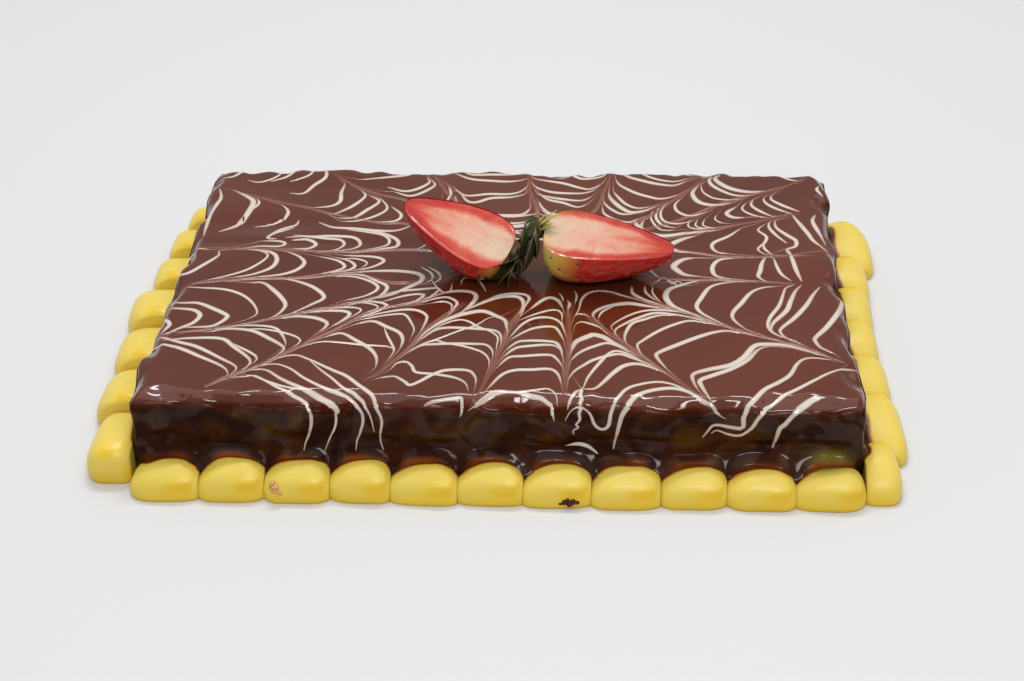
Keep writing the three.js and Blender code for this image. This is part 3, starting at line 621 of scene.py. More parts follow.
# The drawn lines: x, y along each, numbered round the cake from the front
DRAWN_LINES = [
    (10, -18, 3.5, -35, 1.5, -46.5, 0, -56, -2, -65, -5, -78, -8, -89),
    (25, -20, 25, -36.5, 25.5, -48, 25, -68, 25, -86.5),
    (30, -27, 34.5, -34, 44, -46, 50, -53.5, 56, -61, 63, -69.5, 70, -77.5, 77, -86),
    (35, -12, 50, -18, 65, -25, 80, -34, 95, -42, 110, -49, 125, -59),
    (60, -3, 90, -4, 112, -6),
    (63, 18, 85, 14, 105, 14, 128, 15),
    (65, 28, 72, 32, 95, 40, 107, 44.5, 118, 48),
    (65, 40, 87, 57, 98, 63, 115, 72, 127, 77),
    (53, 42, 65, 57, 75, 70, 83, 80),
    (33, 48, 37, 65, 40, 80, 42, 85),
    (10, 47, 6.5, 62, 5, 80),
    (-20, 50, -27, 60, -32, 70, -38, 80),
    (-42, 54, -58, 62, -70, 70, -80, 80),
    (-40, 36, -55, 38, -70, 43, -85, 49, -105, 57, -125, 66),
    (-38, 17, -60, 15, -80, 15, -105, 17, -127, 13),
    (-40, -8, -60, -2, -80, -5, -100, -6, -118, -9, -127, -17),
    (-40, -14, -60, -24, -80, -31, -101, -39.5, -118, -43.5, -128, -52),
    (-22, -14, -36, -22, -50.5, -28.5, -61, -39.5, -69, -47.5, -84, -62.5, -104, -79),
    (-15, -22, -28, -40, -33.5, -53, -38, -61, -42, -68, -48, -74),
]

# Strokes read off the photo: the width, then column and row along each, in its pixels
PHOTO_WIDE, PHOTO_HIGH = 1024, 681
PHOTO_STROKES = [
    # along the front, over the rim and down the side, from left to right
    (1.5, 229, 377.7, 242, 376.7, 254, 375.7, 265, 380.5, 279, 388, 292, 395, 302, 400.6, 308.4, 409,
     311.3, 419.7, 309.4, 433, 305.6, 442.7, 304, 450.4),
    (1.5, 256, 367, 275, 364, 290, 368.5, 303.7, 377.7, 322.8, 387.2, 340, 394, 351.5, 400.6, 359,
     409.2, 363, 418.8, 360, 433, 357, 440.8, 355.9, 450.4),
    (1.3, 308, 359, 320.9, 370, 332.4, 378.6, 343.8, 388.2, 355.3, 394.9, 364.9, 406.3, 370.6, 417.8,
     374.4, 432),
    (1.7, 274, 359, 294, 355, 308, 359, 332.4, 370, 345.8, 375.7, 359, 385.3, 368.7, 392, 374.4, 400.6,
     378.3, 412, 381.7, 421.7, 380.2, 435, 381, 442.7, 383.6, 450),
    (1.5, 423.8, 406.3, 431.5, 401.6, 452.5, 398.7, 460.2, 397.7, 462, 404.4, 461, 415, 459.2, 416.9),
    (1.3, 467.8, 411, 483, 398.7, 496.5, 391, 515.7, 392, 534.8, 390, 548, 388.7, 555.8, 394.9, 557.4,
     406.3),
    (1.7, 471.7, 408.3, 490.8, 396.8, 504, 392, 521.4, 393, 538.6, 397.7, 548, 403.5, 552, 412, 554,
     420.7),
    (1.5, 565.4, 420.7, 571, 411, 580.7, 407.3, 588.4, 412, 594, 423.6, 601.7, 429.3, 608.4, 425.5,
     611.3, 412, 617, 398.7, 626.6, 389, 640, 384.3, 657.2, 381.9, 672.5, 384.3, 687.8, 391, 703,
     400.6, 720, 414),
    (2.1, 613.2, 449, 616, 437, 620, 422, 624, 412, 632, 400, 641, 393.5, 653.4, 390, 670.6, 388.2,
     686, 391, 699.3, 398.7, 714, 408, 726, 419),
    (1.4, 567.3, 410, 571, 398.7, 576.9, 391, 581.7, 389),
    (1.3, 565.4, 445.6, 576.9, 443.7, 586.4, 445.6, 594, 450.4, 598, 454),
    (2, 830, 359.8, 815, 358, 804.3, 359, 797, 364.3, 790, 375, 779.3, 382, 765, 389.3, 754.3, 400,
     747, 409, 743.6, 417.9, 743.2, 426.8, 740, 428.6, 729.3, 427, 718.6, 425, 712.3, 426, 707.9, 431,
     702.5, 437.5),
    (1.7, 860.5, 375, 854, 370.5, 843.6, 369.6, 829.3, 373, 815, 380, 797, 389.3, 782.9, 396.4, 772,
     405.4, 763, 414, 754.3, 425, 745.4, 433, 738, 435.7, 727.5, 434, 716.8, 430.4, 711, 433.5),
    # curls at the feet of the fruit
    (1, 650, 284.5, 658, 281, 663, 277.5, 668, 280, 672, 284, 677, 281, 682, 283.5, 687, 286),
    (0.8, 664, 283, 670, 280.5, 675, 284, 681, 286, 686, 283),
    (1.2, 461, 285, 463, 279, 470, 277.5, 478, 280, 483, 286, 486, 292),
    (0.9, 432, 279, 435, 285, 441, 291, 447, 293, 451, 290, 452, 283),
]
PHOTO_BLUNT_STROKES = [
    (2.3, 338, 413.5, 334, 407, 322.8, 399.7, 303.7, 389, 282.6, 379.6, 266, 370, 251, 370),
    (0.9, 335.8, 412, 335.5, 425, 329.5, 439, 324.7, 452),
    (1.5, 582, 388, 581.3, 390.5, 580.3, 394.9, 581.9, 398.7, 580, 403.5, 581, 408.3, 579.2, 413,
     579.7, 420, 576, 424.5, 578.4, 427.4, 573, 430.8, 574, 434.5),
    (2.4, 821.3, 398, 813, 400, 804.3, 406, 795.4, 414, 786.4, 423, 780, 428.6, 776.6, 437.5, 772.5,
     448),
]

# The middle that every x is measured from lies this far to the right of the cake's
WEB_SHIFT = 0.6


def from_photo(width, *pixels):
    """The same stroke in millimetres: each spot where the line of sight meets the level of the top."""
    ahead = -PHOTO_WIDE * lens.lens / lens.sensor_width
    spots = []
    for column, row in zip(pixels[0::2], pixels[1::2]):
        sight = Vector((column - PHOTO_WIDE / 2, PHOTO_HIGH / 2 - row, ahead))
        sight = camera.matrix_world.to_3x3() @ sight
        spot = EYE + sight * (CAKE_HEIGHT - EYE.z) / sight.z
        spots += [spot.x - WEB_SHIFT, spot.y]
    return (width, *spots)


WEB_STROKES += [from_photo(*stroke) for stroke in PHOTO_STROKES]
BLUNT_STROKES += [from_photo(*stroke) for stroke in PHOTO_BLUNT_STROKES]

# Behind the fruit the rings and lines go on towards the middle of the web
WEB_MIDDLE = np.array([8.0, 12.0])
BACK_LINES = range(4, 16)
INNER_END, RING_SHARES = 0.35, (0.40, 0.58, 0.75, 0.90)
RINGS_HERE = {1: 2, 2: 2, 3: 2, 4: 3, 10: 1}
starts = [np.array(DRAWN_LINES[k][:2], float) - WEB_MIDDLE for k in BACK_LINES]
for ring, share in enumerate(RING_SHARES):
    for k, (one, other) in enumerate(zip(starts, starts[1:])):
        if ring >= RINGS_HERE.get(k, len(RING_SHARES)):
            continue
        loop = [(share + 0.1) * one, (share + 0.03) * (0.85 * one + 0.15 * other)]
        loop += [(share - 0.02) * (0.6 * one + 0.4 * other), (share - 0.01) * (0.35 * one + 0.65 * other)]
        loop += [(share + 0.04) * (0.12 * one + 0.88 * other), (share + 0.11) * other]
        WEB_STROKES.append((1.5 + 0.5 * math.sin(3 * k + 5 * ring), *(np.array(loop) + WEB_MIDDLE).ravel()))
for k, start in zip(BACK_LINES, starts):
    DRAWN_LINES[k] = (*(WEB_MIDDLE + INNER_END * start), *DRAWN_LINES[k])


def on_box(flat_x, flat_y):
    """The spot on the cake's plain box of a spot measured flat over its top and down its sides."""
    spots = []
    for flat, half in ((flat_x, HALF_X), (flat_y, HALF_Y)):
        inner = half - EDGE_ROUND
        over = np.maximum(0, np.abs(flat) - inner)
        turn = np.clip(over / EDGE_ROUND, 1e-6, math.pi / 2)
        out = EDGE_ROUND * np.minimum(np.tan(turn), 1)
        drop = EDGE_ROUND * np.maximum(0, 1 - 1 / np.tan(turn)) + np.maximum(0, over - EDGE_RUN)
        spots.append((np.sign(flat) * (np.minimum(np.abs(flat), inner) + out), drop))
    (x, drop_x), (y, drop_y) = spots
    return x, y, CAKE_HEIGHT - np.maximum(drop_x, drop_y)


def on_glaze(flat_x, flat_y, lift):
    """The place of a spot measured flat, lifted off the glaze by so much."""
    step = 0.2
    here = poured(*on_box(flat_x, flat_y))
    ahead = poured(*on_box(flat_x + step, flat_y)) - poured(*on_box(flat_x - step, flat_y))
    across = poured(*on_box(flat_x, flat_y + step)) - poured(*on_box(flat_x, flat_y - step))
    up = np.cross(ahead, across)
    up /= np.maximum(np.linalg.norm(up, axis=-1, keepdims=True), 1e-9)
    return here + up * lift[..., None]


def laid_flat(seen_x, seen_y):
    """Turns what the camera sees on the level of the top into spots measured flat over the glaze, by
    laying each spot, looking where the camera sees it, and moving it by most of what is left."""
    flat_x, flat_y = seen_x.copy(), seen_y.copy()
    for turn in range(14):
        laid = poured(*on_box(flat_x, flat_y))
        sight = (EYE.z - CAKE_HEIGHT) / (EYE.z - laid[:, 2])
        flat_x = flat_x + 0.7 * (seen_x - EYE.x - (laid[:, 0] - EYE.x) * sight)
        flat_y = flat_y + 0.7 * (seen_y - EYE.y - (laid[:, 1] - EYE.y) * sight)
        flat_x = np.clip(flat_x, -HALF_X - 1, HALF_X)
        flat_y = np.minimum(flat_y, HALF_Y)
    return flat_x, flat_y


def smooth_run(spots, step):
    """A smooth line through the spots, with points every step."""
    spots = np.asarray(spots, float)
    ends = np.vstack([2 * spots[0] - spots[1], spots, 2 * spots[-1] - spots[-2]])
    run = []
    for a, b, c, d in zip(ends, ends[1:], ends[2:], ends[3:]):
        t = np.linspace(0, 1, max(2, int(np.linalg.norm(c - b) / step) + 1))[:-1, None]
        run.append(b + t / 2 * (c - a + t * (2 * a - 5 * b + 4 * c - d + t * (3 * (b - c) + d - a))))
    return np.vstack([*run, spots[-1:]])


ACROSS = np.array([-1.3, -0.85, -0.45, 0, 0.45, 0.85, 1.3])
CREAM_ACROSS = np.array([0, 0.8, 1, 1, 1, 0.8, 0])
RAISED_ACROSS = np.array([-0.02, 0.03, 0.07, 0.09, 0.07, 0.03, -0.02])
ribbon_points, ribbon_faces, ribbon_cream = [], [], []


def draw_ribbon(run, widths, cream, lift):
    """Lays one ribbon of icing along a run of flat spots, level with the glaze at its edges."""
    ahead = np.gradient(run, axis=0)
    ahead /= np.maximum(np.linalg.norm(ahead, axis=1, keepdims=True), 1e-9)
    half = widths[:, None] / 2 * ACROSS
    flat_x = run[:, :1] - ahead[:, 1:] * half
    flat_y = run[:, 1:] + ahead[:, :1] * half
    start = sum(len(points) for points in ribbon_points)
    heights = np.broadcast_to(RAISED_ACROSS + lift * (CREAM_ACROSS > 0), flat_x.shape)
    ribbon_points.append(on_glaze(flat_x, flat_y, heights).reshape(-1, 3))
    ribbon_faces.append(lattice(len(run), len(ACROSS)) + start)
    ribbon_cream.append((cream[:, None] * CREAM_ACROSS).ravel())


def along_of(run):
    """How far along its run each point is, from 0 to 1."""
    steps = np.linalg.norm(np.diff(run, axis=0), axis=1)
    return np.concatenate([[0], np.cumsum(steps)]) / max(steps.sum(), 1e-9)


STEP, RIM_STEP, NEAR_RIM = 1.3, 0.7, 8
TAIL_WIDTH, TAIL_CREAM = 0.26, 0.60
TAIL_STEP, TAIL_REACH = 3.0, 6.5
seen_lines = [smooth_run(np.reshape(spots, (-1, 2)), 1.0) for spots in DRAWN_LINES]


def tail_of(end, before, length):
    """The spots of the thin tail that a stroke is drawn out into, along the nearest drawn line."""
    apart = [np.linalg.norm(line - end, axis=1) for line in seen_lines]
    nearest = int(np.argmin([gap.min() for gap in apart]))
    line, k = seen_lines[nearest], int(apart[nearest].argmin())
    if apart[nearest].min() > TAIL_REACH or k in (0, len(line) - 1):
        return np.empty((0, 2))
    along = 1 if np.dot(line[k + 1] - line[k - 1], end - before) > 0 else -1
    places = k + along * np.arange(TAIL_STEP, length, TAIL_STEP).astype(int)
    places = places[(places >= 0) & (places < len(line))]
    nearer = (1 - np.abs(places - k) / (length + 1))[:, None]
    return line[places] + (end - line[k]) * nearer**1.6


for number, (width, *spots) in enumerate(WEB_STROKES + BLUNT_STROKES):
    spots = np.reshape(spots, (-1, 2)).astype(float)
    blunt = number >= len(WEB_STROKES)
    first = tail_of(spots[0], spots[1], 13 + 9 * math.sin(number) ** 2)[::-1]
    last = tail_of(spots[-1], spots[-2], 13 + 9 * math.cos(2.0 * number) ** 2)
    if blunt:
        first = first[:0]
    seen = np.vstack([first, spots, last]) + [WEB_SHIFT, 0]
    flat = np.stack(laid_flat(seen[:, 0], seen[:, 1]), -1)
    by_rim = np.any(np.abs(flat) > [HALF_X - NEAR_RIM, HALF_Y - NEAR_RIM])
    run = smooth_run(flat, RIM_STEP if by_rim else STEP)
    start_at = np.linalg.norm(run - flat[len(first)], axis=1).argmin()
    end_at = np.linalg.norm(run - flat[len(flat) - 1 - len(last)], axis=1).argmin()
    gone = along_of(run)
    t = np.clip((gone - gone[start_at]) / max(gone[end_at] - gone[start_at], 1e-6), 0, 1)
    left = np.clip((gone - gone[end_at]) / max(1 - gone[end_at], 1e-6), 0, 1)
    left = 1 - np.maximum(left, np.clip((gone[start_at] - gone) / max(gone[start_at], 1e-6), 0, 1))
    if blunt:
        body = np.sqrt(np.clip(t / 0.06, 0, 1)) * np.cos(t * math.pi / 2) ** 0.7
        cream = TAIL_CREAM + (1 - TAIL_CREAM) * np.cos(t * math.pi / 2) ** 0.5
    else:
        body = np.sin(t * math.pi) ** 0.75
        cream = TAIL_CREAM + (1 - TAIL_CREAM) * np.clip(np.sin(t * math.pi), 0, 1) ** 0.6
    body = 0.92 * (TAIL_WIDTH + (1 - TAIL_WIDTH) * body) * (0.35 + 0.65 * left)
    uneven = 1 + 0.10 * wander(t * 9, number, 3)
    draw_ribbon(run, width * uneven * body, cream * left**0.8, 0.004 * (number % 9))

LINE_OFFSETS = (-0.75, -0.2, 0.35, 0.8)
for number, spots in enumerate(DRAWN_LINES):
    x, y = np.array(spots[0::2], float) + WEB_SHIFT, np.array(spots[1::2], float)
    run = smooth_run(np.stack(laid_flat(x, y), -1), 1.2)
    t = along_of(run)
    ahead = np.gradient(run, axis=0)
    ahead /= np.linalg.norm(ahead, axis=1, keepdims=True)
    for turn, offset in enumerate(LINE_OFFSETS):
        drift = offset * (1 - 0.6 * t) + 0.25 * wander(t * 14, offset * 9, number % 7)
        beside = run + np.stack([-ahead[:, 1], ahead[:, 0]], -1) * drift[:, None]
        fade = np.clip(np.sin(t * math.pi), 0, 1) ** 0.5
        faint = 0.24 + 0.24 * (0.5 + 0.5 * wander(t * 10, turn * 4.0, number % 5))
        draw_ribbon(beside, 0.25 + 0.45 * fade * (turn % 2 + 1) / 2, faint * fade, 0)

icing, tree, shader = new_finish("white_icing", Roughness=0.12, Specular_IOR_Level=0.5)
cream = lay(tree, "ShaderNodeAttribute", {}, attribute_name="cream")
shade = colour_ramp(tree, cream.outputs["Fac"], [
    (0, GLAZE_BROWN),
    (0.40, (0.22, 0.085, 0.055, 1)),
    (0.70, (0.42, 0.32, 0.25, 1)),
    (1, (0.57, 0.52, 0.46, 1)),
])
tree.links.new(shade, shader.inputs["Base Color"])
web = make_piece("web_of_icing", np.concatenate(ribbon_points), np.concatenate(ribbon_faces), [icing],
                 {"cream": np.concatenate(ribbon_cream)})


# The piped custard: smooth set dollops pressed from a plain wide nozzle, one after another round the
# foot of the cake. Each was laid against the last, and the nozzle's lift left a soft fold on it.
BRIM = 1.72
AROUND, RINGS = 84, 34
ROW_FACING = {"front": (0, -1), "back": (0, 1), "left": (-1, 0), "right": (1, 0)}
ROW_LEAN = {"front": 1, "back": 1, "left": -1, "right": 1}

custard, tree, shader = new_finish(
    "set_custard", Roughness=0.36, Specular_IOR_Level=0.42, Subsurface_Weight=0.25, Subsurface_Scale=0.004,
    Subsurface_Radius=(1.0, 0.60, 0.15),
)
place = tree.nodes.new("ShaderNodeTexCoord").outputs["Object"]
# Painted shade: the custard is painted a deeper, more orange yellow under the fold, under the tips of the
# left row, and towards its lower edge and foot.
custard_shade = lay(tree, "ShaderNodeAttribute", {}, attribute_name="custard_shade").outputs["Fac"]
stain = lay(tree, "ShaderNodeAttribute", {}, attribute_name="stain").outputs["Fac"]
cloud = lay(tree, "ShaderNodeTexNoise", {"Vector": place, "Scale": 160, "Detail": 3}).outputs["Fac"]
tone = lay(tree, "ShaderNodeMath", {0: cloud, 1: 0.35}, operation="MULTIPLY")
tone = lay(tree, "ShaderNodeMath", {0: tone.outputs[0], 1: custard_shade}, operation="ADD")
shade = colour_ramp(tree, tone.outputs[0], [
    (0.10, (0.72, 0.56, 0.105, 1)),
    (0.50, (0.73, 0.505, 0.028, 1)),
    (1.00, (0.73, 0.45, 0.010, 1)),
])
lapped = colour_ramp(tree, stain, [
    (0.25, (0.62, 0.26, 0.012, 1)),
    (0.85, (0.10, 0.014, 0.004, 1)),
])
over = lay(tree, "ShaderNodeMapRange", {"Value": stain, "From Max": 0.35})
browned = blend(tree, over.outputs["Result"], shade, lapped)
olive = lay(tree, "ShaderNodeAttribute", {}, attribute_name="olive").outputs["Fac"]
browned = blend(tree, olive, browned, (0.10, 0.075, 0.008, 1))
tree.links.new(browned, shader.inputs["Base Color"])
grain = lay(tree, "ShaderNodeTexNoise", {"Vector": place, "Scale": 700, "Detail": 2})
bump = lay(tree, "ShaderNodeBump", {"Height": grain.outputs["Fac"], "Strength": 0.10, "Distance": 0.0006})
tree.links.new(bump.outputs["Normal"], shader.inputs["Normal"])


def pipe_dollop(node, row, number):
    """One dollop in the space of its node, pressed flat by its neighbours and by the cake."""
    low, high = ((np.array(corner) - np.array(MIDDLE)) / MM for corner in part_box(node))
    axis = 0 if row in ("front", "back") else 1
    start, end = low[axis] - 0.2, high[axis] + 0.2
    length, height = end - start, high[2]
    face = np.array(ROW_FACING[row])
    wall = HALF_X if axis else HALF_Y
    depth = np.abs(np.array([low[:2] @ face, high[:2] @ face])).max() - wall
    fall = np.linspace(0, BRIM, RINGS)[:, None]
    turn = np.linspace(0, 2 * math.pi, AROUND, endpoint=False)[None]
    wide = np.sin(fall) ** 0.85
    level = (np.cos(fall) - math.cos(BRIM)) / (1 - math.cos(BRIM))

    def press(value):
        return np.sign(value) * np.abs(value) ** (2 / 3.4)

    swell = 1 + 0.03 * np.sin(3 * turn + number)
    last = f"dollop_{row}_{number + 1}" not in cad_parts
    free = (np.cos(turn) < 0) & (number == 1) | (np.cos(turn) > 0) & last
    s = np.where(free, np.cos(turn), 1.17 * press(np.cos(turn))) * length / 2 * wide * swell
    out = depth * 0.62 * wide * press(np.sin(turn)) * swell + depth * 0.38
    lean = ROW_LEAN[row]
    rise = height * 0.93 * level + 0 * turn
    toward = s * lean
    if axis == 0:
        s = s + lean * 2.0 * level**3
        fold = smooth_step(toward, -0.05 * length, 0.22 * length)
        fold = fold * smooth_step(-toward, -0.46 * length, -0.36 * length)
        outer = smooth_step(np.sin(turn), -0.2, 0.5)
        swept = 0.55 * hill(level, 0, 0.66, 0, 0.18, 1) - 0.14 * hill(level, 0, 0.44, 0, 0.14, 1)
        swept = swept * outer * fold
        # painted shade under the fold
        custard_shade = 0.66 * fold * outer * hill(level, 0, 0.48, 0, 0.19, 1)
        rise = rise + 0.8 * np.exp(-(((toward - 4) / 5) ** 2) - ((out - depth / 2) / 3) ** 2) * level
    else:
        s = s + lean * 0.20 * length * level**2
        swept = 0 * toward
        tip = hill(toward, out, 0.26 * length, depth * 0.42, 2.6, 2.6)
        # painted shade under the little peak of the tip
        custard_shade = 0.8 * tip * level
        pinch = hill(toward, out, 0.26 * length, depth * 0.42, 1.2, 1.2)
        rise = rise + (0.9 * tip - 0.35 * pinch) * level
    # the painted shade deepens towards the lower edge and the foot
    custard_shade = custard_shade + 0.30 * smooth_step(fall, 0.9, 1.7) + 0.5 * smooth_step(1.8 - rise, 0, 1.6)
    lumps = 0.26 * wander(s / 3.2 + number * 5, out / 3.2 + rise / 3.2, number % 7)
    spread = swept + lumps * wide
    s = s + spread * np.cos(turn) * wide
    out = out + spread * np.sin(turn) * wide
    rise = np.where(fall >= BRIM - 1e-6, 0, rise + spread * np.cos(fall) * 0.5)
    along = np.clip((start + end) / 2 + s, start, end)
    drawn_in = waist(along) * HALF_X if axis else 0 * along
    out = np.clip(out, -drawn_in, depth)
    rise = np.clip(rise, 0, height)
    glaze_out = np.maximum(0, skirt(row, along, rise)) - side_inset(row, along, rise)
    stain = 1 - smooth_step(out + drawn_in - glaze_out, 0.1, 2.0)
    # only the stretch beside the cake is lapped
    past_corner = np.abs(along) - SIDES[row]["half"]
    stain = stain * smooth_step(rise, 5, 8) * (1 - smooth_step(past_corner, -6, -2))
    olive = hill(along, out, 118.5, 2, 6, 4) * (node == "dollop_front_11") * smooth_step(rise, 6, 10)
    across = np.stack([along, (wall + out) * face.sum()], -1)
    if axis:
        across = across[..., ::-1]
    middle = np.append(across.reshape(-1, 2).mean(0), 0)
    placed = np.vstack([np.concatenate([across, rise[..., None]], -1).reshape(-1, 3), middle])
    ring = np.arange(AROUND)
    after = (ring + 1) % AROUND
    faces = []
    for r in range(RINGS - 1):
        here, below = r * AROUND, (r + 1) * AROUND
        faces += list(np.stack([here + ring, below + ring, below + after, here + after], -1))
    foot = (RINGS - 1) * AROUND
    faces += [(foot + a, len(placed) - 1, foot + b) for a, b in zip(ring, after)]
    notes = {"custard_shade": np.append(custard_shade.ravel(), 0), "stain": np.append(stain.ravel(), 0),
             "olive": np.append(olive.ravel(), 0)}
    piece = make_piece(f"custard_{node}", placed, faces, [custard], notes, weld=True)
    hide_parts(node)


for node in sorted(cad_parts):
    if node.startswith("dollop_"):
        row, number = node.split("_")[1:]
        pipe_dollop(node, row, int(number))


# The crumbs: a torn flake of biscuit on the third dollop of the front row and a dark crumb of glazed
# biscuit at the foot of the seventh, caught in the soft custard. Each is a few rough lumps, pressed
# together: x, y, z and size.
CRUMB_LUMPS = [
    (-78.6, -98.5, 8.2, 1.1), (-77.5, -98.8, 7.0, 1.4), (-77.2, -99.0, 5.6, 1.3), (-78.6, -98.9, 6.0, 1.0),
    (-76.0, -98.9, 4.6, 1.1), (24.4, -99.3, 2.0, 0.9), (25.7, -99.6, 2.7, 1.2), (27.4, -99.5, 2.3, 1.2),
    (28.9, -99.6, 3.1, 1.1), (30.4, -99.3, 2.6, 0.7), (26.9, -99.4, 3.7, 0.7),
]
crumb_finish, tree, shader = new_finish("crumbs", Roughness=0.6, Specular_IOR_Level=0.3)
place = tree.nodes.new("ShaderNodeTexCoord").outputs["Object"]
cocoa = lay(tree, "ShaderNodeAttribute", {}, attribute_name="cocoa").outputs["Fac"]
speckle = lay(tree, "ShaderNodeTexNoise", {"Vector": place, "Scale": 900, "Detail": 2}).outputs["Fac"]
shade = colour_ramp(tree, speckle, [
    (0.3, (0.55, 0.26, 0.05, 1)),
    (0.7, (0.70, 0.45, 0.20, 1)),
])
shade = blend(tree, cocoa, shade, (0.06, 0.008, 0.003, 1))
tree.links.new(shade, shader.inputs["Base Color"])
CRUMB_AROUND, CRUMB_RINGS = 16, 9
points, faces, dark_notes = [], [], []
for number, (x, y, z, size) in enumerate(CRUMB_LUMPS):
    turn = np.linspace(0, 2 * math.pi, CRUMB_AROUND)[:, None]
    fall = np.linspace(0, math.pi, CRUMB_RINGS)[None]
    ways = np.stack([np.cos(turn) * np.sin(fall), np.sin(turn) * np.sin(fall), np.cos(fall) + 0 * turn], -1)
    rough = 1 + 0.28 * wander(ways[..., 0] * 3 + number, ways[..., 1] * 3 + ways[..., 2] * 4, number)
    faces.append(lattice(CRUMB_AROUND, CRUMB_RINGS) + sum(len(lump) for lump in points))
    points.append((np.array([x, y, z]) + size * rough[..., None] * ways).reshape(-1, 3))
    dark_notes.append(np.full(ways[..., 0].size, float(x > 0)))
crumbs = make_piece("crumbs", np.vstack(points), np.vstack(faces), [crumb_finish],
                    {"cocoa": np.concatenate(dark_notes)}, weld=True)


# The strawberry: one ripe berry cut in half through its stalk end, laid with both cut faces up on
# the wet glaze. The flesh is pale in the core and red to the rim, and seeds sit in the skin.
BERRY_HALVES = {
    "right": {"length": 50, "half_width": 19.2, "depth": 16.8, "squareness": 2.5, "turn": (-3, 6, -7),
              "red_from": 0.74, "ripe_from": 0},
    "left": {"length": 44.5, "half_width": 17.2, "depth": 14.8, "squareness": 2.2, "turn": (-5, -21, 168),
             "red_from": 0.62, "ripe_from": 0.2},
}
SHOULDER, TAPER, BLUNTNESS = 0.5, 0.9, 0.60
STATIONS, SKIN_STEPS, FACE_STEPS = 110, 60, 60
SEED_AROUND, SEED_RINGS = 8, 5


def berry_finish(name, skin):
    """Cut flesh or skin of the berry; both are wet and let a little light in."""
    finish, tree, shader = new_finish(
        name, Roughness=0.20 if skin else 0.30, Specular_IOR_Level=0.5, Subsurface_Weight=0.03,
        Subsurface_Scale=0.002, Subsurface_Radius=(1.0, 0.25, 0.12),
        Coat_Weight=0.15 if skin else 0.1, Coat_Roughness=0.05,
    )
    place = tree.nodes.new("ShaderNodeTexCoord").outputs["Object"]
    run = lay(tree, "ShaderNodeAttribute", {}, attribute_name="run").outputs["Fac"]
    fine = lay(tree, "ShaderNodeTexNoise", {"Vector": place, "Scale": 260, "Detail": 3}).outputs["Fac"]
    if skin:
        shade = colour_ramp(tree, run, [
            (0.0, (0.58, 0.50, 0.14, 1)),
            (0.15, (0.58, 0.36, 0.06, 1)),
            (0.34, (0.42, 0.014, 0.004, 1)),
            (1.0, (0.40, 0.008, 0.006, 1)),
        ])
    else:
        edge = lay(tree, "ShaderNodeAttribute", {}, attribute_name="edge").outputs["Fac"]
        streak = lay(tree, "ShaderNodeAttribute", {}, attribute_name="streak").outputs["Fac"]
        sway = lay(tree, "ShaderNodeMath", {0: fine, 1: 0.22}, operation="MULTIPLY")
        sway = lay(tree, "ShaderNodeMath", {0: sway.outputs[0], 1: streak}, operation="ADD")
        depth = lay(tree, "ShaderNodeMath", {0: sway.outputs[0], 1: edge}, operation="ADD")
        shade = colour_ramp(tree, depth.outputs[0], [
            (0.08, (0.60, 0.45, 0.32, 1)),
            (0.26, (0.62, 0.29, 0.20, 1)),
            (0.42, (0.56, 0.16, 0.10, 1)),
            (0.58, (0.50, 0.050, 0.022, 1)),
            (0.76, (0.44, 0.016, 0.006, 1)),
            (0.96, (0.36, 0.008, 0.004, 1)),
        ])
        green = lay(tree, "ShaderNodeMapRange", {
            "Value": run, "From Min": 0.13, "From Max": 0.0, "To Max": 0.5,
        })
        shade = blend(tree, green.outputs["Result"], shade, (0.54, 0.49, 0.24, 1))
        wet = lay(tree, "ShaderNodeAttribute", {}, attribute_name="wet").outputs["Fac"]
        gloss = lay(tree, "ShaderNodeMapRange", {
            "Value": wet, "From Max": 0.6, "To Min": 0.1, "To Max": 1.0,
        })
        tree.links.new(gloss.outputs["Result"], shader.inputs["Coat Weight"])
    tree.links.new(shade, shader.inputs["Base Color"])
    bump = lay(tree, "ShaderNodeBump", {"Height": fine, "Strength": 0.15, "Distance": 0.0005})
    tree.links.new(bump.outputs["Normal"], shader.inputs["Normal"])
    return finish


berry_flesh, berry_skin = berry_finish("cut_flesh", False), berry_finish("berry_skin", True)
seed_finish, tree, shader = new_finish("berry_seed", Roughness=0.35, Specular_IOR_Level=0.5)
place = tree.nodes.new("ShaderNodeTexCoord").outputs["Object"]
fine = lay(tree, "ShaderNodeTexNoise", {"Vector": place, "Scale": 500}).outputs["Fac"]
shade = colour_ramp(tree, fine, [
    (0.3, (0.035, 0.014, 0.004, 1)),
    (0.7, (0.090, 0.040, 0.008, 1)),
])
tree.links.new(shade, shader.inputs["Base Color"])


def berry_turn(side):
    roll, pitch, heading = (math.radians(angle) for angle in BERRY_HALVES[side]["turn"])
    turned = Matrix.Rotation(heading, 3, "Z") @ Matrix.Rotation(pitch, 3, "Y")
    return np.array(turned @ Matrix.Rotation(roll, 3, "X"))


def skin_place(sizes, fall, turn):
    """A spot on a half berry: fall goes from the leaves to the tip, turn from one rim under to the other."""
    def swell(angle):
        return np.sin(angle) ** BLUNTNESS * (1 + TAPER * SHOULDER * np.cos(angle))

    radius = swell(np.clip(fall, 1e-5, math.pi - 1e-5)) / swell(math.acos(SHOULDER))
    power = 2 / sizes["squareness"]
    x = sizes["length"] * (1 - np.cos(fall)) / 2 + 0 * turn
    y = sizes["half_width"] * radius * np.sign(np.cos(turn)) * np.abs(np.cos(turn)) ** power
    z = -sizes["depth"] * radius * np.abs(np.sin(turn)) ** power
    return np.stack([x, y, z], -1)


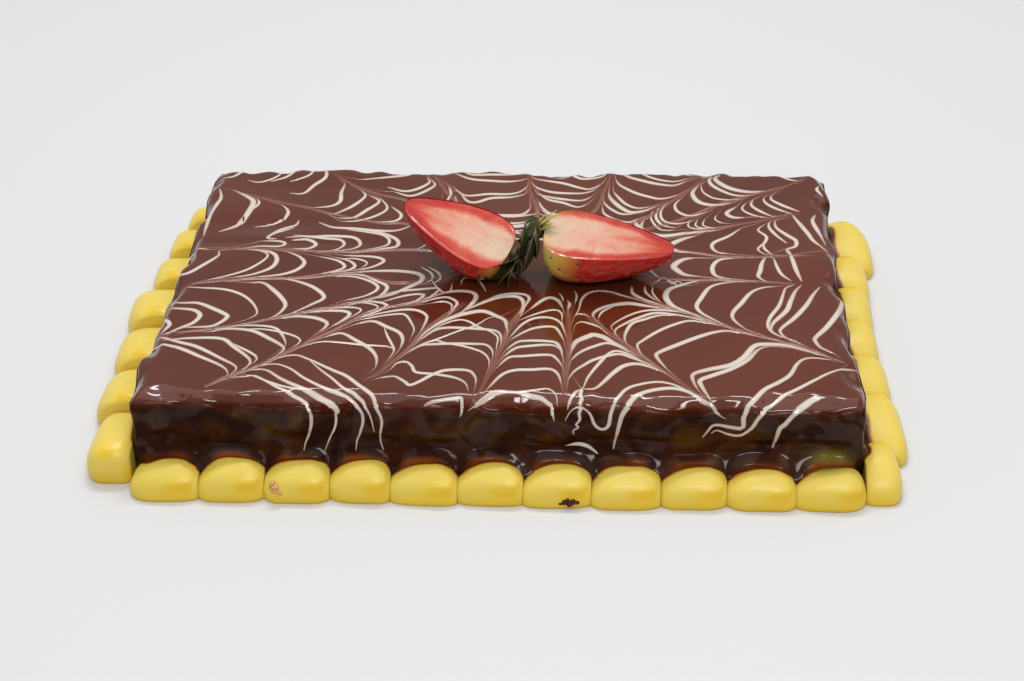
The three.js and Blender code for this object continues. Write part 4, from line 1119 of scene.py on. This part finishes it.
def cut_berry(side):
    sizes = BERRY_HALVES[side]
    fall = np.linspace(0, math.pi, STATIONS)[:, None]
    turn = np.linspace(0, math.pi, SKIN_STEPS)[None]
    skin = skin_place(sizes, fall, turn)
    plain = skin.reshape(-1, 3) @ berry_turn(side).T
    low, high = (np.array(corner) - np.array(MIDDLE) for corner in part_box(f"berry_half_{side}"))
    shift = (low + high) / 2 / MM - (plain.min(0) + plain.max(0)) / 2

    seeds = []
    rows = 9
    for row in range(rows):
        angle = 0.30 + 2.35 * row / (rows - 1)
        around = max(3, round(2.1 * sizes["half_width"] * math.sin(angle) ** 0.8 / 4.6))
        for k in range(around):
            spot = math.pi * (k + 0.5 * (row % 2) + 0.25) / around
            seeds.append((angle + 0.05 * math.sin(9.0 * k + row), spot))
    seeds = np.array(seeds)
    pits = skin_place(sizes, seeds[:, 0], seeds[:, 1])
    centre_line = np.array([1.0, 0, 0]) * pits[:, :1]
    outward = pits - centre_line
    outward /= np.linalg.norm(outward, axis=1, keepdims=True)

    flat = skin.reshape(-1, 3)
    apart = np.linalg.norm(flat[:, None] - pits[None], axis=2)
    pit = np.exp(-((apart.min(1) / 1.1) ** 2))
    inward = flat * [0, 1, 1]
    inward /= np.maximum(np.linalg.norm(inward, axis=1, keepdims=True), 1e-6)
    rim_soft = smooth_step(np.abs(flat[:, 2]), 0, 1.5)[:, None]
    flat = flat - inward * (0.5 * pit[:, None] - 0.12) * rim_soft

    across = np.linspace(-1, 1, FACE_STEPS)[None]
    rim = skin_place(sizes, fall, np.array([[0.0]]))[:, 0]
    face_y = rim[:, None, 1] * -across
    inside = 1 - np.abs(across)
    ripple = 0.15 * wander(rim[:, None, 0] / 4, across * 4, 5)
    bow = 0.45 * smooth_step(inside * rim[:, None, 1], 0, 1.6) + ripple * smooth_step(inside, 0, 0.3)
    bead = np.exp(-(((inside * rim[:, None, 1] - 1.1) / 0.6) ** 2))
    bow = bow + 0.45 * bead * (0.5 + 0.5 * wander(rim[:, None, 0] / 1.1, across, 3))
    wet_part = smooth_step(wander(rim[:, None, 0] / 3, across * 2, 8), -0.15, 0.25)
    face = np.stack([rim[:, None, 0] + 0 * across, face_y, bow - 0.45], -1)
    points = np.vstack([flat, face.reshape(-1, 3)])
    faces = np.vstack([lattice(STATIONS, SKIN_STEPS), lattice(STATIONS, FACE_STEPS) + len(flat)])
    run_skin = flat[:, 0] / sizes["length"] + 0.05 * wander(flat[:, 1] / 4, flat[:, 2] / 4, 2)
    run_skin = np.clip(run_skin, 0, 1) + sizes["ripe_from"]
    share = (1 - np.cos(fall)) / 2
    run_face = np.repeat(share, FACE_STEPS) + 0.4 * sizes["ripe_from"]
    to_tip = smooth_step(share, 0.60, 1.0)
    red_from = sizes["red_from"] + 0.10 * smooth_step(0.3 - share, 0, 0.3)
    red_from = red_from - 0.25 * smooth_step(share, 0.6, 1)
    pale = 0.16 * smooth_step(share, 0.25, 0.85) + 0.14 * np.abs(across)
    torn = 0.05 * wander(share * 30, np.sign(across) * 3, 6)
    edge = pale + 0.42 * smooth_step(np.abs(across) + torn, red_from - 0.18, red_from + 0.14)
    edge = edge + 0.42 * to_tip**2
    ray = np.arctan2(face_y, rim[:, None, 0] - 20)
    streak = 0.045 * np.sin(64 * ray + 3 * wander(ray * 5, across, 2))
    streak = streak + 0.08 * wander(ray * 16, across * 2, 5)
    core = np.exp(-((across / 0.32) ** 2)) * smooth_step(share, 0.1, 0.3)
    streak = streak + core * (0.17 + 0.26 * wander(share * 7, across * 9 + 0.6 * np.sin(9 * share), 4))
    placed = points @ berry_turn(side).T + shift
    piece = make_piece(f"berry_cut_{side}", placed, faces, [berry_flesh, berry_skin], {
        "run": np.concatenate([run_skin, run_face]),
        "edge": np.concatenate([np.ones(len(flat)), edge.ravel()]),
        "wet": np.concatenate([np.zeros(len(flat)), (bead * wet_part).ravel()]),
        "streak": np.concatenate([np.zeros(len(flat)), (streak * (0.4 + np.abs(across))).ravel()]),
    }, weld=True)
    up = berry_turn(side) @ np.array([0, 0, 1.0])
    for polygon in piece.data.polygons:
        polygon.material_index = 0 if np.dot(np.array(polygon.normal), up) > 0.55 else 1
    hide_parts(f"berry_half_{side}")

    points, faces = [], []
    lengthwise = skin_place(sizes, seeds[:, 0] + 0.02, seeds[:, 1]) - pits
    lengthwise /= np.linalg.norm(lengthwise, axis=1, keepdims=True)
    for pit_at, out, ahead in zip(pits, outward, lengthwise):
        beside = np.cross(out, ahead)
        fall_s = np.linspace(0, math.pi, SEED_RINGS + 1)[:, None]
        turn_s = np.linspace(0, 2 * math.pi, SEED_AROUND, endpoint=False)[None]
        body = np.cos(fall_s)[..., None] * ahead * 0.82
        body = body + (np.sin(fall_s) * np.cos(turn_s))[..., None] * beside * 0.42
        body = body + (np.sin(fall_s) * np.sin(turn_s))[..., None] * out * 0.32
        base = sum(len(p) for p in points)
        points.append((pit_at - out * 0.25 + body).reshape(-1, 3))
        for r in range(SEED_RINGS):
            for k in range(SEED_AROUND):
                a, b = r * SEED_AROUND + k, r * SEED_AROUND + (k + 1) % SEED_AROUND
                faces.append((base + a, base + b, base + b + SEED_AROUND, base + a + SEED_AROUND))
    placed = np.vstack(points) @ berry_turn(side).T + shift
    seeds_piece = make_piece(f"berry_seeds_{side}", placed, faces, [seed_finish], weld=True)
    return shift


# The leaves: the green crown of the stalk end, cut with the berry, wet and brown with the glaze
# that ran between the halves. Thin pointed blades spread from the stalk's knob.
LEAF_THICK = 0.5
CROWNS = {
    "right": {"knob": (3.4, 3, 1.8), "blades": [
        (128, 9, 16, 9, 1.2, 0, 0.0), (148, 5, 20, 10, 1.5, 2, 0.05), (100, 7, 10, 9, 1, 4, 0.1),
        (170, 30, 11, 10, 2.5, 1, 0.15), (112, 40, 9, 9, 2, 2, 0.0), (75, 35, 8, 8, 2, 0, 0.2),
        (135, 30, 13, 11, 2, 1, 0.05), (90, 60, 9, 8, 1, 2, 0.25), (200, 20, 10, 9, 1, 3, 0.2),
        (-90, 10, 8, 3.6, -8, 1, 0.9), (-60, 5, 8.5, 3.4, -7, 3, 1.0), (-122, 5, 7, 3.2, -6, 2, 0.8),
        (-35, 20, 7, 3, -3, 0, 0.9), (160, 5, 14, 11, -3, 2, 0.1), (150, 30, 14, 14, 0, 1, 0.12),
        (122, 28, 13, 14, 0, 3, 0.05), (178, 32, 12, 13, 0, 0, 0.2)]},
    "left": {"knob": (3.4, 3, 1.8), "blades": [
        (205, 22, 8, 8, 1, 1, 0.25), (150, 16, 7, 6, 0.6, 3, 0.1), (28, 8, 14, 9, 1, 2, 0.2),
        (60, 25, 10, 10, 2, 1, 0.1), (100, 30, 8, 9, 1.5, 3, 0.15), (-14, 16, 7, 5, 0.6, 0, 0.3),
        (230, 15, 10, 9, 1, 2, 0.15), (180, 35, 8, 9, 1, 0, 0.2), (45, 30, 12, 10, 1.5, 0, 0.1),
        (12, 0, 17, 13, -9, 1, 0.12), (34, 10, 15, 12, -4, 2, 0.2)]},
}
leaf_finish, tree, shader = new_finish("wet_leaf", Roughness=0.28, Specular_IOR_Level=0.5)
place = tree.nodes.new("ShaderNodeTexCoord").outputs["Object"]
fresh = lay(tree, "ShaderNodeAttribute", {}, attribute_name="fresh").outputs["Fac"]
mottle = lay(tree, "ShaderNodeTexNoise", {"Vector": place, "Scale": 300, "Detail": 3}).outputs["Fac"]
mottle = lay(tree, "ShaderNodeMath", {0: mottle, 1: 0.5}, operation="MULTIPLY")
tone = lay(tree, "ShaderNodeMath", {0: mottle.outputs[0], 1: fresh}, operation="ADD")
shade = colour_ramp(tree, tone.outputs[0], [
    (0.15, (0.042, 0.022, 0.010, 1)),
    (0.5, (0.045, 0.052, 0.010, 1)),
    (1.0, (0.40, 0.36, 0.08, 1)),
])
tree.links.new(shade, shader.inputs["Base Color"])
bump = lay(tree, "ShaderNodeBump", {"Height": mottle.outputs[0], "Strength": 0.3, "Distance": 0.0006})
tree.links.new(bump.outputs["Normal"], shader.inputs["Normal"])


def crown_of_leaves(side, shift):
    knob, blades = CROWNS[side]["knob"], CROWNS[side]["blades"]
    crown_axes = np.array([[0, 0, -1], [1, 0, 0], [0, -1, 0]], float)
    crown_at = np.array([-knob[2] - 0.3, 0, -0.4 * knob[1]])
    points, faces, fresh_notes = [], [], []
    rows, columns = 30, 11
    for heading, pitch, length, width, droop, wave, fresh in blades:
        run = np.linspace(0, 1, rows)[:, None]
        across = np.linspace(-1, 1, columns)[None]
        taper = 0.16 + 0.84 * np.sin(math.pi * np.minimum(1, run * 0.72 + 0.24)) ** 0.8
        taper = taper * np.sqrt(np.clip((1.001 - run) / 0.25, 0, 1))
        y = width / 2 * across * taper
        bend = droop * run**2 + 0.7 * np.sin(5 * run + wave) + 0.05 * y**2
        bend = bend + 0.25 * np.sin(9 * run + 3 * across)
        crease = 0.35 * np.abs(across) * taper
        thick = LEAF_THICK / 2 * (1 - across**6) * np.clip((1.0 - run) * 8, 0, 1)
        for sign in (1, -1):
            z = bend + crease + sign * thick
            local = np.stack([length * run + 0 * y, y, z], -1).reshape(-1, 3)
            spin = np.array(Matrix.Rotation(math.radians(heading), 3, "Z")
                            @ Matrix.Rotation(math.radians(-pitch), 3, "Y"))
            base = sum(len(p) for p in points)
            points.append(local @ spin.T)
            faces.append(lattice(rows, columns) + base)
            vein = 0.15 * np.exp(-((across / 0.08) ** 2)) + 0 * run
            fresh_notes.append((fresh * (0.6 + 0.4 * run) + vein).ravel())
    ring = np.linspace(0, 2 * math.pi, 28)[:, None]
    tall = np.linspace(0, math.pi, 15)[None]
    lump = 1 + 0.08 * np.sin(5 * ring)
    hub_x = knob[0] * np.cos(ring) * np.sin(tall) * lump
    hub_y = knob[1] * np.sin(ring) * np.sin(tall) * lump
    hub_z = knob[2] * np.cos(tall) + 0 * ring
    hub = np.stack([hub_x, hub_y, hub_z], -1).reshape(-1, 3)
    base = sum(len(p) for p in points)
    points.append(hub)
    faces.append(lattice(28, 15) + base)
    fresh_notes.append(np.zeros(len(hub)))
    local = np.vstack(points) @ crown_axes.T + crown_at
    placed = local @ berry_turn(side).T + shift
    piece = make_piece(f"leaves_{side}", placed, np.vstack(faces), [leaf_finish],
                       {"fresh": np.concatenate(fresh_notes)}, weld=True)
    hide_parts(f"berry_leaves_{side}")


for side in BERRY_HALVES:
    crown_of_leaves(side, cut_berry(side))
